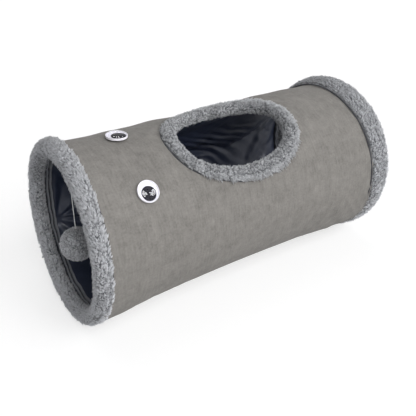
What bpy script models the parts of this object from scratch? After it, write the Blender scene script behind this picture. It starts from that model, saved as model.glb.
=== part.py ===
"""Collapsible cat tunnel: a suede tube held open by a spring wire, with plush round both mouths and round an
oval peek hole, two googly eyes, and a plush ball on a string in the near mouth.

Metres, +Z up. The tunnel lies along X with its near mouth, the one with the eyes, at -X. It rests on the
flattened undersides of its two rims, and the origin is on the floor below its middle. Pieces of the tube are
made in the tunnel's own frame: X from the near mouth, and +Z through the middle of the peek hole. That frame
is then rolled about X, so that the hole looks up and towards -Y.
"""

import math

import bmesh
import bpy
from mathutils import Matrix, Vector

# Whole tunnel
TUNNEL_LENGTH = 0.600
SLEEVE_DIAMETER = 0.286
WAIST_DEPTH = 0.0057
RIM_FLAT_DEPTH = 0.002
ROLL = math.radians(26)

# Layers, from the outside in
SLEEVE_THICKNESS = 0.002
CASING_THICKNESS = 0.0005
LINING_THICKNESS = 0.001
CLEARANCE = 0.0005

# Wires
COIL_WIRE_DIAMETER = 0.0025
HOOP_WIRE_DIAMETER = 0.0028
HOOP_INSET = 0.012
HOOP_END_GAP = 0.002
FERRULE_WALL = 0.0006
FERRULE_LENGTH = 0.018
COIL_PITCH = 0.262
COIL_EASE = 0.030
COIL_RUN_OUT = math.radians(30)
CASING_WIDTH = 0.016

# Plush rims
RIM_PROUD_OUTSIDE = 0.007
RIM_PROUD_INSIDE = 0.0145
RIM_NOSE = 0.014
RIM_EDGE_THICKNESS = 0.002
NEAR_BAND_OUTSIDE = 0.026
NEAR_BAND_INSIDE = 0.030
FAR_BAND_OUTSIDE = 0.046
FAR_BAND_INSIDE = 0.030

# Peek hole, measured along the sleeve, and its plush trim
HOLE_FROM_MOUTH = 0.288
HOLE_LENGTH = 0.190
HOLE_WIDTH = 0.117
TRIM_WIDTH = 0.027
TRIM_FOLD = 0.006
TRIM_NOSE = 0.009
TRIM_PROUD = 0.007
TRIM_INSIDE_DEPTH = 0.005
TRIM_EDGE_THICKNESS = 0.0015

# Eyes
EYE_ANGLE = math.radians(24)
LOWER_EYE_FROM_MOUTH = 0.0966
UPPER_EYE_FROM_MOUTH = 0.1055
EYE_DIAMETER = 0.0355
EYE_FLOOR = 0.0012
EYE_LIP_WIDTH = 0.0008
EYE_LIP_HEIGHT = 0.0024
DOME_WALL = 0.0007
DOME_SIDE_HEIGHT = 0.0016
DOME_HEIGHT = 0.0055
PUPIL_DIAMETER = 0.0234
PUPIL_THICKNESS = 0.001
STEM_DIAMETER = 0.004
WASHER_DIAMETER = 0.014
WASHER_THICKNESS = 0.001
STEM_PAST_WASHER = 0.0006

# Ball and string
BALL_DIAMETER = 0.055
BALL_COVER_THICKNESS = 0.0045
BALL_NECK_DIAMETER = 0.0024
BALL_BELOW_AXIS = 0.0364
BALL_ASIDE = 0.0185
STRING_DIAMETER = 0.0014
KNOT_DIAMETER = 0.004
TAB_THICKNESS = 0.0024
TAB_WIDTH = 0.008
TAB_DROP = 0.009

# Fineness of the meshes
AROUND_TUNNEL = 48
ALONG_SLEEVE = 6
AROUND_HOLE = 48
AROUND_NOSE = 7
DOWN_BAND = 2
AROUND_EYE = 20
AROUND_STEM = 12
DOME_STEPS = 4
AROUND_BALL = 16
BALL_STEPS = 7
AROUND_FERRULE = 8
ALONG_FERRULE = 4
WIRE_RESOLUTION = 1
STRING_RESOLUTION = 2
ALONG_STRING = 24
AROUND_FOLD = 6
AROUND_KNOT = 12
SMOOTH_ANGLE = math.radians(40)
CUTTER_OVERRUN = 0.030
MERGE_DISTANCE = 0.000001

# Worked out from the sizes above
RIM_DIAMETER = SLEEVE_DIAMETER + 2 * RIM_PROUD_OUTSIDE
AXIS_HEIGHT = RIM_DIAMETER / 2 - RIM_FLAT_DEPTH
SLEEVE_INSET = HOOP_INSET + HOOP_WIRE_DIAMETER / 2 + CLEARANCE + FERRULE_WALL + CLEARANCE
LAYER_GAP = COIL_WIRE_DIAMETER + CASING_THICKNESS + CLEARANCE + CLEARANCE + CLEARANCE
FABRIC_DEPTH = SLEEVE_THICKNESS + LAYER_GAP + LINING_THICKNESS
COIL_DEPTH = SLEEVE_THICKNESS + CLEARANCE + COIL_WIRE_DIAMETER / 2
BALL_FROM_MOUTH = NEAR_BAND_INSIDE + CLEARANCE + TAB_THICKNESS / 2


def clear_scene():
    for old in list(bpy.data.objects):
        bpy.data.objects.remove(old, do_unlink=True)


def make_material(name, colour, roughness, metallic=0.0, alpha=1.0):
    made = bpy.data.materials.new(name)
    made.use_nodes = True
    shader = made.node_tree.nodes["Principled BSDF"]
    shader.inputs["Base Color"].default_value = (*colour, 1.0)
    shader.inputs["Roughness"].default_value = roughness
    shader.inputs["Metallic"].default_value = metallic
    shader.inputs["Alpha"].default_value = alpha
    return made


def add_empty(name, parent=None, matrix=None):
    empty = bpy.data.objects.new(name, None)
    bpy.context.scene.collection.objects.link(empty)
    empty.parent = parent
    if matrix is not None:
        empty.matrix_local = matrix
    return empty


def add_object(name, data, material, parent, matrix=None):
    """Puts a mesh or curve in the scene under its parent, with its one material."""
    data.materials.append(material)
    placed = bpy.data.objects.new(name, data)
    bpy.context.scene.collection.objects.link(placed)
    placed.parent = parent
    if matrix is not None:
        placed.matrix_local = matrix
    if placed.type == "MESH":
        data.shade_smooth()
        data.set_sharp_from_angle(angle=SMOOTH_ANGLE)
    return placed


def finish_mesh(name, work):
    """Closes a bmesh into a mesh whose faces point out."""
    bmesh.ops.remove_doubles(work, verts=work.verts, dist=MERGE_DISTANCE)
    bmesh.ops.recalc_face_normals(work, faces=work.faces)
    mesh = bpy.data.meshes.new(name)
    work.to_mesh(mesh)
    work.free()
    return mesh


def skin(name, rings, closed):
    """A mesh over rings of as many points each: closed into a loop, or with a cap on each end."""
    work = bmesh.new()
    loops = [[work.verts.new(point) for point in ring] for ring in rings]
    following = loops[1:] + loops[:1] if closed else loops[1:]
    for first, second in zip(loops, following):
        for index in range(len(first)):
            after = (index + 1) % len(first)
            work.faces.new((first[index], first[after], second[after], second[index]))
    if not closed:
        work.faces.new(loops[0])
        work.faces.new(loops[-1])
    return finish_mesh(name, work)


def turned(name, profile, count):
    """A mesh turned about +Z from (radius, height) points: an outline from axis to axis, or a closed one."""
    work = bmesh.new()
    rings = [
        [
            work.verts.new((radius * math.cos(turn), radius * math.sin(turn), height))
            for turn in (math.tau * step / count for step in range(count))
        ]
        for radius, height in profile
    ]
    from_axis = profile[0][0] == 0
    following = rings[1:] if from_axis else rings[1:] + rings[:1]
    for first, second in zip(rings, following):
        for index in range(count):
            after = (index + 1) % count
            work.faces.new((first[index], first[after], second[after], second[index]))
    return finish_mesh(name, work)


def tunnel_point(along, radius, angle):
    """A point in the tunnel's frame; the angle runs from the middle of the peek hole towards -Y."""
    return Vector((along, -radius * math.sin(angle), radius * math.cos(angle)))


def waist_span():
    """The sleeve is drawn in between the bands of the two rims."""
    return NEAR_BAND_OUTSIDE, TUNNEL_LENGTH - FAR_BAND_OUTSIDE


def sleeve_radius(along):
    """Outer radius of the sleeve: an even bow at the waist, in straight runs between its stations."""
    start, end = waist_span()
    place = min(max((along - start) / (end - start), 0), 1) * ALONG_SLEEVE
    before = min(int(place), ALONG_SLEEVE - 1)
    share, share_after = before / ALONG_SLEEVE, (before + 1) / ALONG_SLEEVE
    bow = share * (1 - share)
    bow_after = share_after * (1 - share_after)
    return SLEEVE_DIAMETER / 2 - WAIST_DEPTH * 4 * (bow + (bow_after - bow) * (place - before))


def around_axis(name, profile):
    """A mesh turned about the tunnel's axis from a closed outline of (along, radius) points."""
    turns = [math.tau * step / AROUND_TUNNEL for step in range(AROUND_TUNNEL)]
    rings = [[tunnel_point(along, radius, turn) for along, radius in profile] for turn in turns]
    return skin(name, rings, closed=True)


def layer_profile(depth, thickness):
    """The outline of one layer of the tube, so far inside the sleeve's outer face."""
    start, end = waist_span()
    waist = [start + (end - start) * step / ALONG_SLEEVE for step in range(ALONG_SLEEVE + 1)]
    stations = [SLEEVE_INSET, *waist, TUNNEL_LENGTH - SLEEVE_INSET]
    outer = [(along, sleeve_radius(along) - depth) for along in stations]
    inner = [(along, radius - thickness) for along, radius in reversed(outer)]
    return outer + inner


def rim_profile(band_outside, band_inside):
    """The outline of a plush rim: a round nose, a band down each side, and the slot that the layers enter."""
    crown = RIM_DIAMETER / 2
    inner_crown = SLEEVE_DIAMETER / 2 - FABRIC_DEPTH - RIM_PROUD_INSIDE
    slot_outer = SLEEVE_DIAMETER / 2 + CLEARANCE
    slot_inner = SLEEVE_DIAMETER / 2 - FABRIC_DEPTH - CLEARANCE
    slot_floor = HOOP_INSET - HOOP_WIRE_DIAMETER / 2 - CLEARANCE - FERRULE_WALL - CLEARANCE
    middle = (crown + inner_crown) / 2
    half = (crown - inner_crown) / 2
    nose = []
    for step in range(AROUND_NOSE):
        turn = math.pi * step / (AROUND_NOSE - 1)
        nose.append((RIM_NOSE - RIM_NOSE * math.sin(turn), middle + half * math.cos(turn)))
    outer_edge = slot_outer + RIM_EDGE_THICKNESS
    inner_edge = slot_inner - RIM_EDGE_THICKNESS
    outer_band = []
    inner_band = []
    for step in range(1, DOWN_BAND + 1):
        share = step / DOWN_BAND
        fall = math.cos(math.pi / 2 * share)
        outer_along = RIM_NOSE + (band_outside - RIM_NOSE) * share
        outer_band.append((outer_along, outer_edge + (crown - outer_edge) * fall))
        inner_along = RIM_NOSE + (band_inside - RIM_NOSE) * share
        inner_band.append((inner_along, inner_edge - (inner_edge - inner_crown) * fall))
    slot = [
        (band_inside, slot_inner),
        (slot_floor, slot_inner),
        (slot_floor, slot_outer),
        (band_outside, slot_outer),
    ]
    return list(reversed(outer_band)) + nose + inner_band + slot


def far_side(profile):
    """The same outline at the other mouth."""
    return [(TUNNEL_LENGTH - along, radius) for along, radius in profile]


def hole_edge(turn, offset):
    """(along, angle) of a point so far outside the hole's clear edge, measured along the sleeve."""
    half_length = HOLE_LENGTH / 2
    half_width = HOLE_WIDTH / 2
    edge = Vector((half_length * math.cos(turn), half_width * math.sin(turn)))
    outwards = Vector((half_width * math.cos(turn), half_length * math.sin(turn))).normalized()
    point = edge + outwards * offset
    return HOLE_FROM_MOUTH + point.x, point.y / sleeve_radius(HOLE_FROM_MOUTH)


def hole_turns():
    return [math.tau * step / AROUND_HOLE for step in range(AROUND_HOLE)]


def hole_cutter_mesh():
    """An oval plug that runs radially through the sleeve and the lining."""
    edge = [hole_edge(turn, TRIM_FOLD + CLEARANCE) for turn in hole_turns()]
    rings = []
    for reach in (-CUTTER_OVERRUN, -FABRIC_DEPTH - CLEARANCE, CLEARANCE, CUTTER_OVERRUN):
        rings.append([tunnel_point(along, sleeve_radius(along) + reach, angle) for along, angle in edge])
    return skin("peek_hole_cutter", rings, closed=False)


def trim_profile():
    """(outwards, height) points of the hole's trim; height is over the sleeve's outer face."""
    middle = -FABRIC_DEPTH / 2
    top_half = TRIM_PROUD - middle
    bottom_half = TRIM_INSIDE_DEPTH + FABRIC_DEPTH / 2
    nose = []
    for step in range(AROUND_NOSE):
        turn = math.pi * step / (AROUND_NOSE - 1)
        half = top_half if turn < math.pi / 2 else bottom_half
        nose.append((TRIM_NOSE - TRIM_NOSE * math.sin(turn), middle + half * math.cos(turn)))
    slot_top = CLEARANCE
    slot_bottom = -FABRIC_DEPTH - CLEARANCE
    top_edge = slot_top + TRIM_EDGE_THICKNESS
    bottom_edge = slot_bottom - TRIM_EDGE_THICKNESS
    top_band = []
    bottom_band = []
    for step in range(1, DOWN_BAND + 1):
        share = step / DOWN_BAND
        fall = math.cos(math.pi / 2 * share)
        outwards = TRIM_NOSE + (TRIM_WIDTH - TRIM_NOSE) * share
        top_band.append((outwards, top_edge + (TRIM_PROUD - top_edge) * fall))
        bottom_band.append((outwards, bottom_edge - (bottom_edge + FABRIC_DEPTH + TRIM_INSIDE_DEPTH) * fall))
    slot_steps = [TRIM_FOLD + (TRIM_WIDTH - TRIM_FOLD) * step / DOWN_BAND for step in range(DOWN_BAND + 1)]
    slot = [(TRIM_WIDTH, slot_bottom), (TRIM_FOLD, slot_bottom)]
    slot += [(outwards, slot_top) for outwards in slot_steps]
    return list(reversed(top_band)) + nose + bottom_band + slot


def trim_mesh():
    rings = []
    for turn in hole_turns():
        ring = []
        for outwards, height in trim_profile():
            along, angle = hole_edge(turn, outwards)
            ring.append(tunnel_point(along, sleeve_radius(along) + height, angle))
        rings.append(ring)
    return skin("peek_hole_trim", rings, closed=True)


def coil_span():
    """Where the coil's ends lie beside the two hoops."""
    beside_hoop = HOOP_INSET + HOOP_WIRE_DIAMETER / 2 + CLEARANCE + COIL_WIRE_DIAMETER / 2
    return beside_hoop, TUNNEL_LENGTH - beside_hoop


def coil_angle(steady):
    """The coil is opposite the middle of the hole, and passes the hole half a pitch before and after that."""
    return math.pi + math.tau * (steady - HOLE_FROM_MOUTH) / COIL_PITCH


def coil_along(steady):
    """Along the tunnel for a steadily growing value, eased so that each end runs out flat beside its hoop."""
    start, end = coil_span()
    if steady < start + COIL_EASE:
        climb = max(steady - (start - COIL_EASE), 0)
        return start + climb * climb / (4 * COIL_EASE)
    if steady > end - COIL_EASE:
        climb = max(end + COIL_EASE - steady, 0)
        return end - climb * climb / (4 * COIL_EASE)
    return steady


def coil_values(first, last):
    """Values from first to last, with a whole number of steps of about one facet of the sleeve."""
    count = math.ceil((last - first) / COIL_PITCH * AROUND_TUNNEL)
    return [first + (last - first) * step / count for step in range(count + 1)]


def coil_ends():
    start, end = coil_span()
    run_out = COIL_EASE + COIL_PITCH * COIL_RUN_OUT / math.tau
    return start - run_out, end + run_out


def wire(name, points, diameter, resolution):
    """A round wire through the points, with filled ends."""
    curve = bpy.data.curves.new(name, "CURVE")
    curve.dimensions = "3D"
    curve.bevel_depth = diameter / 2
    curve.bevel_resolution = resolution
    curve.use_fill_caps = True
    spline = curve.splines.new("POLY")
    spline.points.add(len(points) - 1)
    for slot, point in zip(spline.points, points):
        slot.co = (*point, 1.0)
    return curve


def coil_wire():
    points = []
    for steady in coil_values(*coil_ends()):
        along = coil_along(steady)
        points.append(tunnel_point(along, sleeve_radius(along) - COIL_DEPTH, coil_angle(steady)))
    return wire("spring_coil", points, COIL_WIRE_DIAMETER, WIRE_RESOLUTION)


def casing_mesh():
    """The tape over the coil: its edges lie on the sleeve and its ridge passes inside the wire."""
    edge_depth = SLEEVE_THICKNESS + CLEARANCE
    ridge_depth = COIL_DEPTH + COIL_WIRE_DIAMETER / 2 + CLEARANCE
    half_width = CASING_WIDTH / 2
    section = [(-half_width, edge_depth), (0, ridge_depth), (half_width, edge_depth)]
    section += [(aside, depth + CASING_THICKNESS) for aside, depth in reversed(section)]
    start, end = coil_span()
    rings = []
    for steady in coil_values(start + COIL_EASE, end - COIL_EASE):
        angle = coil_angle(steady)
        ring = []
        for aside, depth in section:
            ring.append(tunnel_point(steady + aside, sleeve_radius(steady + aside) - depth, angle))
        rings.append(ring)
    return skin("spring_casing", rings, closed=False)


def hoop_radius():
    return SLEEVE_DIAMETER / 2 - COIL_DEPTH


def hoop_wire(name, along, gap_angle):
    """A round hoop whose ends stop short of each other at gap_angle, where the ferrule joins them."""
    half_gap = HOOP_END_GAP / 2 / hoop_radius()
    sweep = math.tau - 2 * half_gap
    points = []
    for step in range(AROUND_TUNNEL + 1):
        angle = gap_angle + half_gap + sweep * step / AROUND_TUNNEL
        points.append(tunnel_point(along, hoop_radius(), angle))
    return wire(name, points, HOOP_WIRE_DIAMETER, WIRE_RESOLUTION)


def ferrule_mesh(name, along, gap_angle):
    """A tube, bent with the hoop, that covers both ends of its wire."""
    bore = HOOP_WIRE_DIAMETER / 2 + CLEARANCE
    half_turn = FERRULE_LENGTH / 2 / hoop_radius()
    start = gap_angle - half_turn
    stations = [start + 2 * half_turn * step / ALONG_FERRULE for step in range(ALONG_FERRULE + 1)]
    sides = [math.tau * side / AROUND_FERRULE for side in range(AROUND_FERRULE)]

    def ring(angle, radius):
        return [
            tunnel_point(along + radius * math.cos(side), hoop_radius() + radius * math.sin(side), angle)
            for side in sides
        ]

    outside = [ring(angle, bore + FERRULE_WALL) for angle in stations]
    inside = [ring(angle, bore) for angle in reversed(stations)]
    return skin(name, outside + inside, closed=True)


def eye_frame(from_mouth, angle):
    """The frame of an eye: origin on the sleeve, +Z square to it, +Y towards the far mouth."""
    origin = tunnel_point(from_mouth, sleeve_radius(from_mouth), angle)
    past_stem = from_mouth + STEM_DIAMETER
    ahead = tunnel_point(past_stem, sleeve_radius(past_stem), angle)
    along = (ahead - origin).normalized()
    around = Vector((0, -math.cos(angle), -math.sin(angle)))
    axes = Matrix((around, along, around.cross(along))).transposed()
    return Matrix.Translation(origin) @ axes.to_4x4()


def dome_inner_radius():
    return EYE_DIAMETER / 2 - EYE_LIP_WIDTH - CLEARANCE - DOME_WALL


def eye_back_mesh(name):
    """A dish with a thin lip, and a stem that goes through the sleeve and its washer."""
    radius = EYE_DIAMETER / 2
    stem = STEM_DIAMETER / 2
    bottom = CLEARANCE
    stem_end = washer_top() - WASHER_THICKNESS - STEM_PAST_WASHER
    profile = [
        (0, stem_end),
        (stem, stem_end),
        (stem, bottom),
        (radius, bottom),
        (radius, bottom + EYE_LIP_HEIGHT),
        (radius - EYE_LIP_WIDTH, bottom + EYE_LIP_HEIGHT),
        (radius - EYE_LIP_WIDTH, bottom + EYE_FLOOR),
        (0, bottom + EYE_FLOOR),
    ]
    return turned(name, profile, AROUND_EYE)


def dome_mesh(name):
    """A clear shell with a short straight side under a low cap, open below."""
    inner = dome_inner_radius()
    base = CLEARANCE + EYE_FLOOR + CLEARANCE
    cap_height = DOME_HEIGHT - DOME_SIDE_HEIGHT

    def cap(radius, height):
        rise = [math.pi / 2 * step / DOME_STEPS for step in range(DOME_STEPS)]
        arc = [(radius * math.cos(turn), base + DOME_SIDE_HEIGHT + height * math.sin(turn)) for turn in rise]
        return [(radius, base), *arc, (0, base + DOME_SIDE_HEIGHT + height)]

    inside = cap(inner, cap_height - DOME_WALL)
    outside = cap(inner + DOME_WALL, cap_height)
    return turned(name, [*reversed(inside), *outside], AROUND_EYE)


def pupil_mesh(name):
    """A loose disc, resting against the low side of the dome."""
    radius = PUPIL_DIAMETER / 2
    bottom = CLEARANCE + EYE_FLOOR + CLEARANCE
    top = bottom + PUPIL_THICKNESS
    profile = [(0, bottom), (radius, bottom), (radius, top), (0, top)]
    return turned(name, profile, AROUND_EYE)


def washer_top():
    """Height of the washer's upper face in the eye's frame: its edge meets the hollow side of the sleeve."""
    hollow = (WASHER_DIAMETER / 2) ** 2 / SLEEVE_DIAMETER
    return -SLEEVE_THICKNESS - CLEARANCE - hollow


def washer_mesh(name):
    bore = STEM_DIAMETER / 2 + CLEARANCE
    top = washer_top()
    bottom = top - WASHER_THICKNESS
    profile = [(bore, bottom), (WASHER_DIAMETER / 2, bottom), (WASHER_DIAMETER / 2, top), (bore, top)]
    return turned(name, profile, AROUND_STEM)


def hole_pin_mesh(name, diameter):
    """A pin that cuts a clearance hole for something of that diameter, along the eye's stem."""
    radius = diameter / 2 + CLEARANCE
    profile = [(0, -CUTTER_OVERRUN), (radius, -CUTTER_OVERRUN), (radius, CUTTER_OVERRUN), (0, CUTTER_OVERRUN)]
    return turned(name, profile, AROUND_STEM)


def ball_arc(radius):
    """(radius, height) points up a ball from its bottom pole, stopping short of its top."""
    turns = [math.pi * step / (BALL_STEPS + 1) for step in range(1, BALL_STEPS + 1)]
    return [(0, -radius), *((radius * math.sin(turn), -radius * math.cos(turn)) for turn in turns)]


def ball_cover_mesh():
    """A plush skin with a small gathered neck at the top, where the string goes in."""
    neck = BALL_NECK_DIAMETER / 2
    outer = BALL_DIAMETER / 2
    inner = outer - BALL_COVER_THICKNESS
    outside = [*ball_arc(outer), (neck, math.sqrt(outer * outer - neck * neck))]
    inside = [*ball_arc(inner), (neck, math.sqrt(inner * inner - neck * neck))]
    return turned("ball_cover", [*outside, *reversed(inside)], AROUND_BALL)


def ball_core_mesh():
    radius = BALL_DIAMETER / 2 - BALL_COVER_THICKNESS - CLEARANCE
    return turned("ball_core", [*ball_arc(radius), (0, radius)], AROUND_BALL)


def knot_mesh(name):
    work = bmesh.new()
    segments = AROUND_KNOT // 2
    bmesh.ops.create_uvsphere(work, u_segments=AROUND_KNOT, v_segments=segments, radius=KNOT_DIAMETER / 2)
    return finish_mesh(name, work)


def tab_top(aside):
    """How high over the axis the tab can reach, under the lining and so far to the side."""
    ceiling = SLEEVE_DIAMETER / 2 - FABRIC_DEPTH - CLEARANCE - CLEARANCE
    reach = abs(aside) + TAB_WIDTH / 2
    return math.sqrt(ceiling * ceiling - reach * reach)


def tab_mesh(top):
    """A ribbon folded double, hanging from the seam; the fold at its bottom is round."""
    half_thickness = TAB_THICKNESS / 2
    bend = [math.pi * step / AROUND_FOLD for step in range(AROUND_FOLD + 1)]
    outline = [(half_thickness, top), (-half_thickness, top)]
    floor = top - TAB_DROP + half_thickness
    outline += [(-half_thickness * math.cos(turn), floor - half_thickness * math.sin(turn)) for turn in bend]
    sides = (-TAB_WIDTH / 2, TAB_WIDTH / 2)
    rings = [[Vector((along, aside, height)) for along, height in outline] for aside in sides]
    return skin("string_tab", rings, closed=False)


def cut(target, cutter):
    modifier = target.modifiers.new(cutter.name, "BOOLEAN")
    modifier.operation = "DIFFERENCE"
    modifier.solver = "EXACT"
    modifier.object = cutter


def hide_cutter(cutter):
    cutter.hide_render = True
    cutter.display_type = "WIRE"
    return cutter


def floor_cutter(material):
    """A slab under the floor, which flattens the plush that rests on it."""
    work = bmesh.new()
    bmesh.ops.create_cube(work, size=1)
    size = Vector((TUNNEL_LENGTH + CUTTER_OVERRUN, RIM_DIAMETER + CUTTER_OVERRUN, RIM_DIAMETER))
    bmesh.ops.scale(work, vec=size, verts=work.verts)
    bmesh.ops.translate(work, vec=(0, 0, -RIM_DIAMETER / 2), verts=work.verts)
    return hide_cutter(add_object("floor_cutter", finish_mesh("floor_cutter", work), material, None))


def build_layers(tunnel, materials):
    """The sleeve, the lining and the wires between them, with the peek hole cut through."""
    sleeve_mesh = around_axis("outer_sleeve", layer_profile(0, SLEEVE_THICKNESS))
    sleeve = add_object("outer_sleeve", sleeve_mesh, materials["suede"], tunnel)
    lining_mesh = around_axis("inner_lining", layer_profile(SLEEVE_THICKNESS + LAYER_GAP, LINING_THICKNESS))
    lining = add_object("inner_lining", lining_mesh, materials["nylon"], tunnel)
    cutter = hide_cutter(add_object("peek_hole_cutter", hole_cutter_mesh(), materials["suede"], tunnel))
    cut(sleeve, cutter)
    cut(lining, cutter)
    add_object("peek_hole_trim", trim_mesh(), materials["plush"], tunnel)
    add_object("spring_coil", coil_wire(), materials["steel"], tunnel)
    casing = add_object("spring_casing", casing_mesh(), materials["tape"], tunnel)
    return sleeve, casing


def build_rim(side, tunnel, materials, floor):
    """One mouth: plush binding, the hoop in its fold, and the ferrule that closes the hoop."""
    near = side == "near"
    bands = (NEAR_BAND_OUTSIDE, NEAR_BAND_INSIDE) if near else (FAR_BAND_OUTSIDE, FAR_BAND_INSIDE)
    profile = rim_profile(*bands)
    along = HOOP_INSET if near else TUNNEL_LENGTH - HOOP_INSET
    coil_end = coil_ends()[0 if near else 1]
    gap_angle = coil_angle(coil_end) + math.pi
    plush_mesh = around_axis(f"{side}_rim_plush", profile if near else far_side(profile))
    plush = add_object(f"{side}_rim_plush", plush_mesh, materials["plush"], tunnel)
    cut(plush, floor)
    name = f"{side}_hoop"
    add_object(name, hoop_wire(name, along, gap_angle), materials["steel"], tunnel)
    name = f"{side}_hoop_ferrule"
    add_object(name, ferrule_mesh(name, along, gap_angle), materials["zinc"], tunnel)


def build_eye(side, from_mouth, angle, tunnel, materials, sleeve, casing):
    """One googly eye on its own frame, which travels along the tunnel as the sleeve folds.

    Its stem goes through the sleeve, and the tape is cut away wherever it would meet the washer.
    """
    frame = add_empty(f"{side}_eye", tunnel, eye_frame(from_mouth, angle))
    add_object(f"{side}_eye_back", eye_back_mesh(f"{side}_eye_back"), materials["white"], frame)
    add_object(f"{side}_eye_dome", dome_mesh(f"{side}_eye_dome"), materials["clear"], frame)
    add_object(f"{side}_eye_washer", washer_mesh(f"{side}_eye_washer"), materials["white"], frame)
    play = dome_inner_radius() - PUPIL_DIAMETER / 2 - CLEARANCE
    to_eye = (tunnel.matrix_local @ frame.matrix_local).to_3x3().inverted()
    down = to_eye @ Vector((0, 0, -1))
    low = Vector((down.x, down.y, 0)).normalized()
    pupil = add_object(f"{side}_eye_pupil", pupil_mesh(f"{side}_eye_pupil"), materials["black"], frame)
    pupil.data.transform(Matrix.Translation(low * play))
    for cut_object, diameter in ((sleeve, STEM_DIAMETER), (casing, WASHER_DIAMETER)):
        name = f"{side}_{cut_object.name}_cutter"
        pin = add_object(name, hole_pin_mesh(name, diameter), materials["white"], frame)
        cut(cut_object, hide_cutter(pin))


def build_ball(materials):
    """The plush ball on its string, hung from a tab in the seam of the near rim."""
    hang_x = BALL_FROM_MOUTH - TUNNEL_LENGTH / 2
    top = tab_top(BALL_ASIDE)
    tab_matrix = Matrix.Translation((hang_x, BALL_ASIDE, AXIS_HEIGHT))
    add_object("string_tab", tab_mesh(top), materials["tape"], None, tab_matrix)
    knot_radius = KNOT_DIAMETER / 2
    pivot_height = AXIS_HEIGHT + top - TAB_DROP - CLEARANCE - knot_radius
    pivot = add_empty("ball_pivot", None, Matrix.Translation((hang_x, BALL_ASIDE, pivot_height)))
    add_object("string_knot", knot_mesh("string_knot"), materials["cord"], pivot)
    ball_height = AXIS_HEIGHT - BALL_BELOW_AXIS - pivot_height
    knot_height = ball_height + BALL_DIAMETER / 2 + CLEARANCE + knot_radius
    at_knot = Matrix.Translation((0, 0, knot_height))
    add_object("ball_knot", knot_mesh("ball_knot"), materials["cord"], pivot, at_knot)
    string_top = -knot_radius - CLEARANCE
    string_bottom = knot_height + knot_radius + CLEARANCE
    run = string_bottom - string_top
    points = [Vector((0, 0, string_top + run * step / ALONG_STRING)) for step in range(ALONG_STRING + 1)]
    string = wire("ball_string", points, STRING_DIAMETER, STRING_RESOLUTION)
    add_object("ball_string", string, materials["cord"], pivot)
    at_ball = Matrix.Translation((0, 0, ball_height))
    add_object("ball_cover", ball_cover_mesh(), materials["plush"], pivot, at_ball)
    add_object("ball_core", ball_core_mesh(), materials["stuffing"], pivot, at_ball)


def build():
    clear_scene()
    materials = {
        "suede": make_material("suede", (0.24, 0.23, 0.205), 0.95),
        "nylon": make_material("nylon", (0.015, 0.018, 0.028), 0.45),
        "plush": make_material("plush", (0.30, 0.32, 0.35), 1.0),
        "tape": make_material("tape", (0.03, 0.03, 0.04), 0.8),
        "steel": make_material("steel", (0.55, 0.55, 0.57), 0.3, metallic=1.0),
        "zinc": make_material("zinc", (0.6, 0.6, 0.62), 0.4, metallic=1.0),
        "white": make_material("white", (0.85, 0.84, 0.87), 0.35),
        "clear": make_material("clear", (0.95, 0.95, 0.97), 0.05, alpha=0.3),
        "black": make_material("black", (0.01, 0.01, 0.014), 0.3),
        "cord": make_material("cord", (0.8, 0.8, 0.8), 0.8),
        "stuffing": make_material("stuffing", (0.75, 0.75, 0.73), 1.0),
    }
    place = Matrix.Translation((-TUNNEL_LENGTH / 2, 0, AXIS_HEIGHT)) @ Matrix.Rotation(ROLL, 4, "X")
    tunnel = add_empty("tunnel_axis", None, place)
    floor = floor_cutter(materials["suede"])
    sleeve, casing = build_layers(tunnel, materials)
    build_rim("near", tunnel, materials, floor)
    build_rim("far", tunnel, materials, floor)
    build_eye("lower", LOWER_EYE_FROM_MOUTH, EYE_ANGLE, tunnel, materials, sleeve, casing)
    build_eye("upper", UPPER_EYE_FROM_MOUTH, -EYE_ANGLE, tunnel, materials, sleeve, casing)
    build_ball(materials)


build()
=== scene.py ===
"""The looks of a collapsible cat tunnel: suede sleeve, lining, plush rims, googly eyes and a hanging ball.

Every shape is made in the row frame: metres, +Z up, the near mouth at -X. An angle round the tunnel runs from
the middle of the peek hole towards -Y, and "along" is the distance from the near mouth.
"""

import math

import bmesh
import bpy
import numpy as np
from mathutils import Matrix, Quaternion, Vector, noise
from mathutils.kdtree import KDTree


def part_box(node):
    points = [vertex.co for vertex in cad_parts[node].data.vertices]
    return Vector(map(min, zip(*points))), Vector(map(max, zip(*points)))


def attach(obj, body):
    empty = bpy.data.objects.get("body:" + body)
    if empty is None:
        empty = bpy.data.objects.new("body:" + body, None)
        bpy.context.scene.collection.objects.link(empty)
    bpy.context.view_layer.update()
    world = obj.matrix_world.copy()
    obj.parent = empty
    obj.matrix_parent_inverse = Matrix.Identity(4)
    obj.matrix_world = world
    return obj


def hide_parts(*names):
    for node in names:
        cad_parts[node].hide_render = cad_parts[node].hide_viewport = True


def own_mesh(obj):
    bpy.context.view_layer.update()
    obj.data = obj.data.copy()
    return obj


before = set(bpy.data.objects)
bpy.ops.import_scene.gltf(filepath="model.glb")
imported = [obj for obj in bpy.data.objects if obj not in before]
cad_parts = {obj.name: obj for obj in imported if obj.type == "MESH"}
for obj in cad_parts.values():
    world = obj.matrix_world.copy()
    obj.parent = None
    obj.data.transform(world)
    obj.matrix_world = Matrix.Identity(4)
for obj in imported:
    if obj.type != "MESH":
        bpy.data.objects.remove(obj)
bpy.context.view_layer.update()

# The photograph's view
PHOTO_AZIMUTH = math.radians(-35.77)
PHOTO_ELEVATION = math.radians(28.01)
CAMERA_PLACE = (-0.5850, -0.7860, 0.6236)
FOCAL_PIXELS = 600.5
PHOTO_PIXELS = 416
SENSOR_WIDTH = 36.0

# Whole tunnel
TUNNEL_LENGTH = 0.600
SLEEVE_RADIUS = 0.143
WAIST_DEPTH = 0.0057
AXIS_HEIGHT = 0.148
ROLL = math.radians(26)
FABRIC_DEPTH = 0.0075
LINING_DEPTH = 0.0065
COIL_DEPTH = 0.00375
CLEARANCE = 0.0005

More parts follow.
